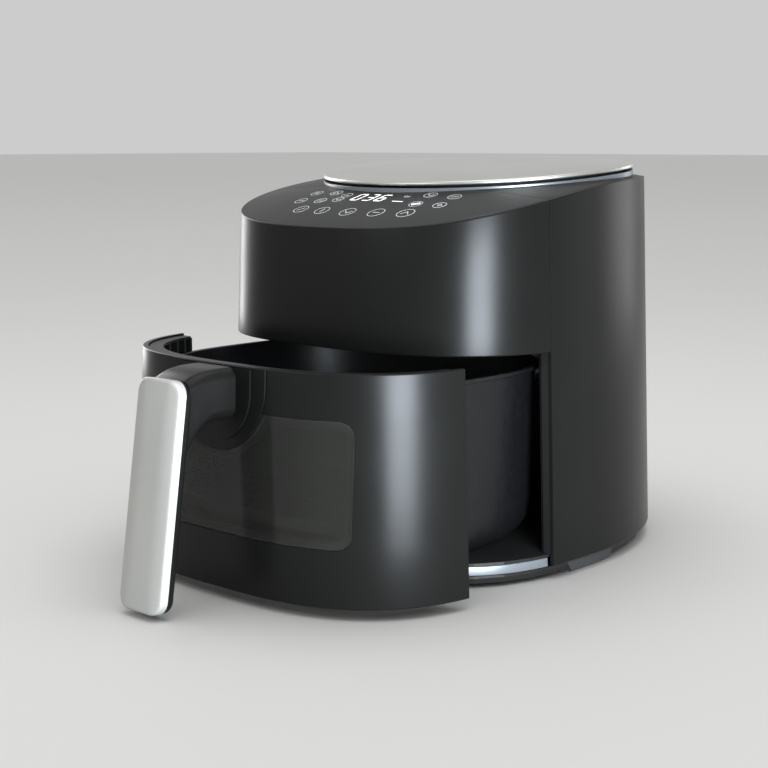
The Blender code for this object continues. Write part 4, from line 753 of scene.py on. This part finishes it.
# %% Rings with signs, and figures
SIGNS = {"bar": [(-1, 0, 1, 0)], "cross": [(-1, 0, 1, 0), (0, -1, 0, 1)], "slash": [(-0.8, -0.8, 0.8, 0.8)],
         "two": [(-1, 0.5, 1, 0.5), (-1, -0.5, 1, -0.5)], "vee": [(-1, 0.6, 0, -0.7), (0, -0.7, 1, 0.6)],
         "cap": [(-1, -0.6, 0, 0.7), (0, 0.7, 1, -0.6)], "post": [(0, -1, 0, 1)]}
RINGS = [(-63.2, -71.4, 5.0, "two"), (-42.6, -71.2, 5.0, "cap"), (-26.7, -76.5, 4.6, "bar"),
         (48.7, -68.8, 5.2, "vee"), (70.8, -68.4, 5.2, "slash"), (-62.7, -89.1, 5.0, "bar"),
         (-42.4, -88.8, 5.0, "two"), (-27.1, -85.7, 4.6, "vee"), (72.3, -86.6, 5.2, "cross"),
         (-45.5, -106.2, 6.0, "slash"), (-22.5, -107.4, 6.0, "post"), (4.0, -108.2, 6.4, "vee"),
         (30.7, -107.0, 6.6, "bar"), (56.7, -104.8, 6.8, "cap"), (51.4, -88.1, 5.2, "bar")]
for cx, cy, radius, sign in RINGS:
    ring_mark(cx, cy, radius)
    for x0, y0, x1, y1 in SIGNS[sign]:
        stroke(cx, cy, *(v * radius * 0.5 for v in (x0, y0, x1, y1)))

BARS = {"top": (0, 1, 1, 1), "middle": (0, 0.5, 1, 0.5), "bottom": (0, 0, 1, 0), "upper left": (0, 0.5, 0, 1),
        "upper right": (1, 0.5, 1, 1), "lower left": (0, 0, 0, 0.5), "lower right": (1, 0, 1, 0.5)}
FIGURES = {"0": ("top", "bottom", "upper left", "upper right", "lower left", "lower right"),
           "3": ("top", "middle", "bottom", "upper right", "lower right"),
           "6": ("top", "middle", "bottom", "upper left", "lower left", "lower right")}
FIGURE_WIDTH, FIGURE_HEIGHT, FIGURE_Y, SHORT = 6.4, 12.5, -86.0, 0.06
FIGURE_LINE, FIGURE_LEAN = 1.25, 0.12
for left, figure in zip((-15.0, -3.0, 8.6), "036"):
    for bar in FIGURES[figure]:
        x0, y0, x1, y1 = BARS[bar]
        dx, dy = (x1 - x0) * SHORT, (y1 - y0) * SHORT
        stroke(left, FIGURE_Y, (x0 + dx) * FIGURE_WIDTH, (y0 + dy) * FIGURE_HEIGHT, (x1 - dx) * FIGURE_WIDTH,
               (y1 - dy) * FIGURE_HEIGHT, FIGURE_LINE, figures, FIGURE_LEAN)
stroke(0, 0, 26.5, -85.4, 36.5, -85.4, 1.0, figures)
stroke(0, 0, 48.6, -89.6, 54.2, -86.4, 2.6, figures)
ring_mark(30.7, -74.9, 1.6)
stroke(33.6, -74.9, 0, -1.8, 0, 1.8, 0.5)


def joined(parts):
    """One mesh from many closed slabs: each slab's rows of points are closed into a tube with capped ends."""
    shape = bmesh.new()
    for points in parts:
        shape.from_mesh(skin(points, around=False, along=True))
    data = bpy.data.meshes.new("marks")
    shape.to_mesh(data)
    shape.free()
    return data


for name, parts, material in (("panel_marks", marks, "lit_mark"), ("panel_figures", figures, "lit_figure")):
    obj = place(name, joined(parts), "housing", "display", plan_y)
    obj.data.materials[0] = MATERIALS[material]

# %% [markdown]
# ## Disc behind the handle
# A shallow shield covers the place where the handle is screwed on: straight sides from the drawer's top, closed
# by a half circle.  The handle's own flange is a smaller shield on it.  Both follow the drawer's curve, so each
# is a curved slab kept only inside its outline, with a bevelled edge that catches a thin line of light.

# %% Shields
def shield(radius, centre_z, top):
    """Outline (x, z): a half circle below its centre, with straight sides up to the top."""
    a = np.radians(np.linspace(-90, 90, 61))
    arc = np.column_stack([radius * np.sin(a), centre_z - radius * np.cos(a)])
    return np.vstack([arc, [[radius, top], [-radius, top]]])


HUB_PROUD, HUB_OFF, HUB_MARGIN = 1.2 * MM, 0.3 * MM, 0.3 * MM
hub = shaped(slab(-HUB_PROUD, -HUB_OFF, 90 * MM, 161.1 * MM, 36, 120),
             prism(shield(HUB_RADIUS - HUB_MARGIN, HUB_HEIGHT, 172 * MM), *THROUGH_FRONT), "INTERSECT")
bevelled(place("handle_disc", hub, "drawer", "gloss_black_plastic", drawer_y, ["handle_hub"]), 0.4 * MM)

# %% [markdown]
# ## Handle
# The arm leaves the shield level and curves down into the back of the grip, as one black moulding.  It is a
# rounded rectangle carried forwards, whose lower edge drops ever faster towards the grip.  The silver plate on
# the grip's front is flat in the middle and crowned towards its sides, which spreads the light across it.

# %% Arm and grip body
ARM_HALF, ARM_LOW, ARM_HIGH, ARM_CORNER = 22.5 * MM, 126.0 * MM, 160.5 * MM, 8.0 * MM
ARM_TAPER, ARM_LOW_DROP, ARM_HIGH_DROP, DROP_START = 1.8 * MM, 26 * MM, 6 * MM, 0.2
GRIP_TOP, GRIP_BOTTOM, GRIP_FACE = 156.5 * MM, 4.5 * MM, -188.8 * MM
GRIP_TILT = math.radians(8.27)
GRIP_HALF, GRIP_CORNER, PLATE = 21.55 * MM, 10.5 * MM, 8.0 * MM
GRIP_MARGIN, GRIP_ROUND, GRIP_WALL = 0.6 * MM, 3.2 * MM, 3.0 * MM
FLAT = 7 * MM
arm_root = float(outline(HOUSING, np.array([0.0]), -HUB_PROUD - HUB_OFF, ARM_LOW)[1][0])
arm_end = (PLATE + GRIP_WALL) / math.cos(GRIP_TILT)


def arm_section(t):
    """Rounded rectangle at share t of the way from shield to grip.

    Its edges fall with the cube of the last part of the way, and the far end leans with the grip.
    """
    half = ARM_HALF - ARM_TAPER * t
    late = max(0.0, (t - DROP_START) / (1 - DROP_START)) ** 3
    xz = rectangle(-half, half, ARM_LOW - ARM_LOW_DROP * late, ARM_HIGH - ARM_HIGH_DROP * late, ARM_CORNER, 8)
    grip_y = GRIP_FACE - (GRIP_TOP - xz[:, 1]) * math.tan(GRIP_TILT) + arm_end
    return np.column_stack([xz[:, 0], arm_root + (grip_y - arm_root) * t, xz[:, 1]])


def grip_row(inset, depth, crown=0.0):
    """The grip's outline moved in by inset, depth behind its tilted face; the crown sets the sides back."""
    half = GRIP_HALF - inset
    length = (GRIP_TOP - GRIP_BOTTOM) / math.cos(GRIP_TILT)
    xz = rectangle(-half, half, -length + inset, -inset, max(GRIP_CORNER - inset, 0.4 * MM))
    y = depth + crown * np.maximum(0, (np.abs(xz[:, 0]) - FLAT) / (GRIP_HALF - FLAT)) ** 2
    cos, sin = math.cos(-GRIP_TILT), math.sin(-GRIP_TILT)
    return np.column_stack([xz[:, 0], GRIP_FACE + y * cos - xz[:, 1] * sin, GRIP_TOP + y * sin + xz[:, 1] * cos])


grip_rows = [grip_row(GRIP_MARGIN, PLATE + 0.3 * MM), grip_row(GRIP_MARGIN, PLATE + GRIP_WALL)]
grip_rows += [grip_row(GRIP_MARGIN + GRIP_ROUND * (1 - math.cos(a)), PLATE + GRIP_WALL + GRIP_ROUND * math.sin(a))
              for a in np.radians([15, 30, 45, 60, 75, 90])]
grip = skin(np.stack(grip_rows))
arm = skin(np.stack([arm_section(t) for t in np.linspace(0, 1, 20)]))
FLANGE_RADIUS, FLANGE_HEIGHT, FLANGE_PROUD = 35 * MM, 144 * MM, 2.0 * MM
flange = shaped(slab(-HUB_PROUD - FLANGE_PROUD, -HUB_PROUD - HUB_OFF, 100 * MM, 159.8 * MM, 30, 100),
                prism(shield(FLANGE_RADIUS, FLANGE_HEIGHT, 171 * MM), *THROUGH_FRONT), "INTERSECT")
body = shaped(shaped(grip, arm, "UNION"), flange, "UNION")
bevelled(place("handle_arm_and_grip", body, "drawer", "gloss_black_plastic", drawer_y, ["handle_body"]), 0.5 * MM, 50)

# %% Silver grip plate
EDGE_ROUND = 2.0 * MM
CROWN_SIDE = 2.0 * MM
plate_rows = [grip_row(i * MM, 0.0, CROWN_SIDE) for i in (14.6, 12.5, 10.5, 8.5, 6.5, 4.5, 3)]
plate_rows += [grip_row(EDGE_ROUND * (1 - math.sin(a)), EDGE_ROUND * (1 - math.cos(a)), CROWN_SIDE)
               for a in np.radians([0, 18, 36, 54, 72, 90])]
plate_rows += [grip_row(0, PLATE - 0.5 * MM), grip_row(0.5 * MM, PLATE)]
place("silver_grip_plate", skin(np.stack(plate_rows)), "drawer", "painted_silver", drawer_y, ["handle_plate"])

# %% [markdown]
# ## Bowl and crisper plate
# The bowl is deep-drawn aluminium with a rolled rim and a non-stick coat.  The crisper plate is a punched sheet
# on four soft feet: a staggered field of round holes, cut here from one oval sheet.

# %% Drawer bowl
SHEET_MM = 1.5
outer = [(30, 22), (23, 22.6), (17, 25.5), (12, 30), (8.5, 35), (6.6, 43), (5.5, 52), (4.4, 90), (3, 146.8)]
inner = [(x + SHEET_MM, z + (0.9 if z < 40 else 0.2)) for x, z in outer[:0:-1]] + [(30.5, 23.5)]
rim = [(0.4, 147), (0, 147.5), (0, 149.2), (0.3, 149.8), (0.9, 150), (3.4, 150), (4.2, 149.6)]
bowl_profile = [(x * MM, z * MM) for x, z in outer + rim + inner]
bowl = carried(BOWL, bowl_profile, whole, 200, closed=False)
OPENING_HALF, OPENING_LOW, OPENING_HIGH, OPENING_CORNER = 90 * MM, 58 * MM, 120 * MM, 8 * MM
opening = prism(rectangle(-OPENING_HALF, OPENING_HALF, OPENING_LOW, OPENING_HIGH, OPENING_CORNER), *THROUGH_FRONT)
place("coated_drawer_bowl", shaped(bowl, opening), "drawer", "nonstick_coating", drawer_y, ["drawer_bowl"])

# %% Crisper plate
disc = carried(BOWL, [(11.8 * MM, 40 * MM), (11 * MM, 40.8 * MM), (11 * MM, 41.5 * MM), (11.5 * MM, 42 * MM)],
               whole, 160, closed=False)
PITCH, HOLE = 15 * MM, 3.0 * MM
FIELD_X, FIELD_Y, FIELD_POWER = 104 * MM, 100 * MM, 2.6
PUNCH_FOOT, PUNCH_TOP = 30 * MM, 50 * MM
column, row = np.meshgrid(np.arange(-7, 8), np.arange(-7, 8))
hx = ((column + 0.5 * (row % 2)) * PITCH).ravel()
hy = (row * PITCH * math.sin(math.radians(60))).ravel()
keep = (np.abs(hx) / FIELD_X) ** FIELD_POWER + (np.abs(hy) / FIELD_Y) ** FIELD_POWER < 1
turn = np.linspace(0, 2 * math.pi, 16, endpoint=False)
punches = bmesh.new()
for x, y in zip(hx[keep], hy[keep]):
    rows = [np.column_stack([x + HOLE * np.cos(turn), y + HOLE * np.sin(turn), np.full(turn.shape, z)])
            for z in (PUNCH_FOOT, PUNCH_TOP)]
    punches.from_mesh(skin(np.stack(rows)))
punch = bpy.data.meshes.new("punch")
punches.to_mesh(punch)
punches.free()
place("punched_crisper_plate", shaped(disc, punch), "plate", "nonstick_coating", drawer_y, ["crisper_plate"])
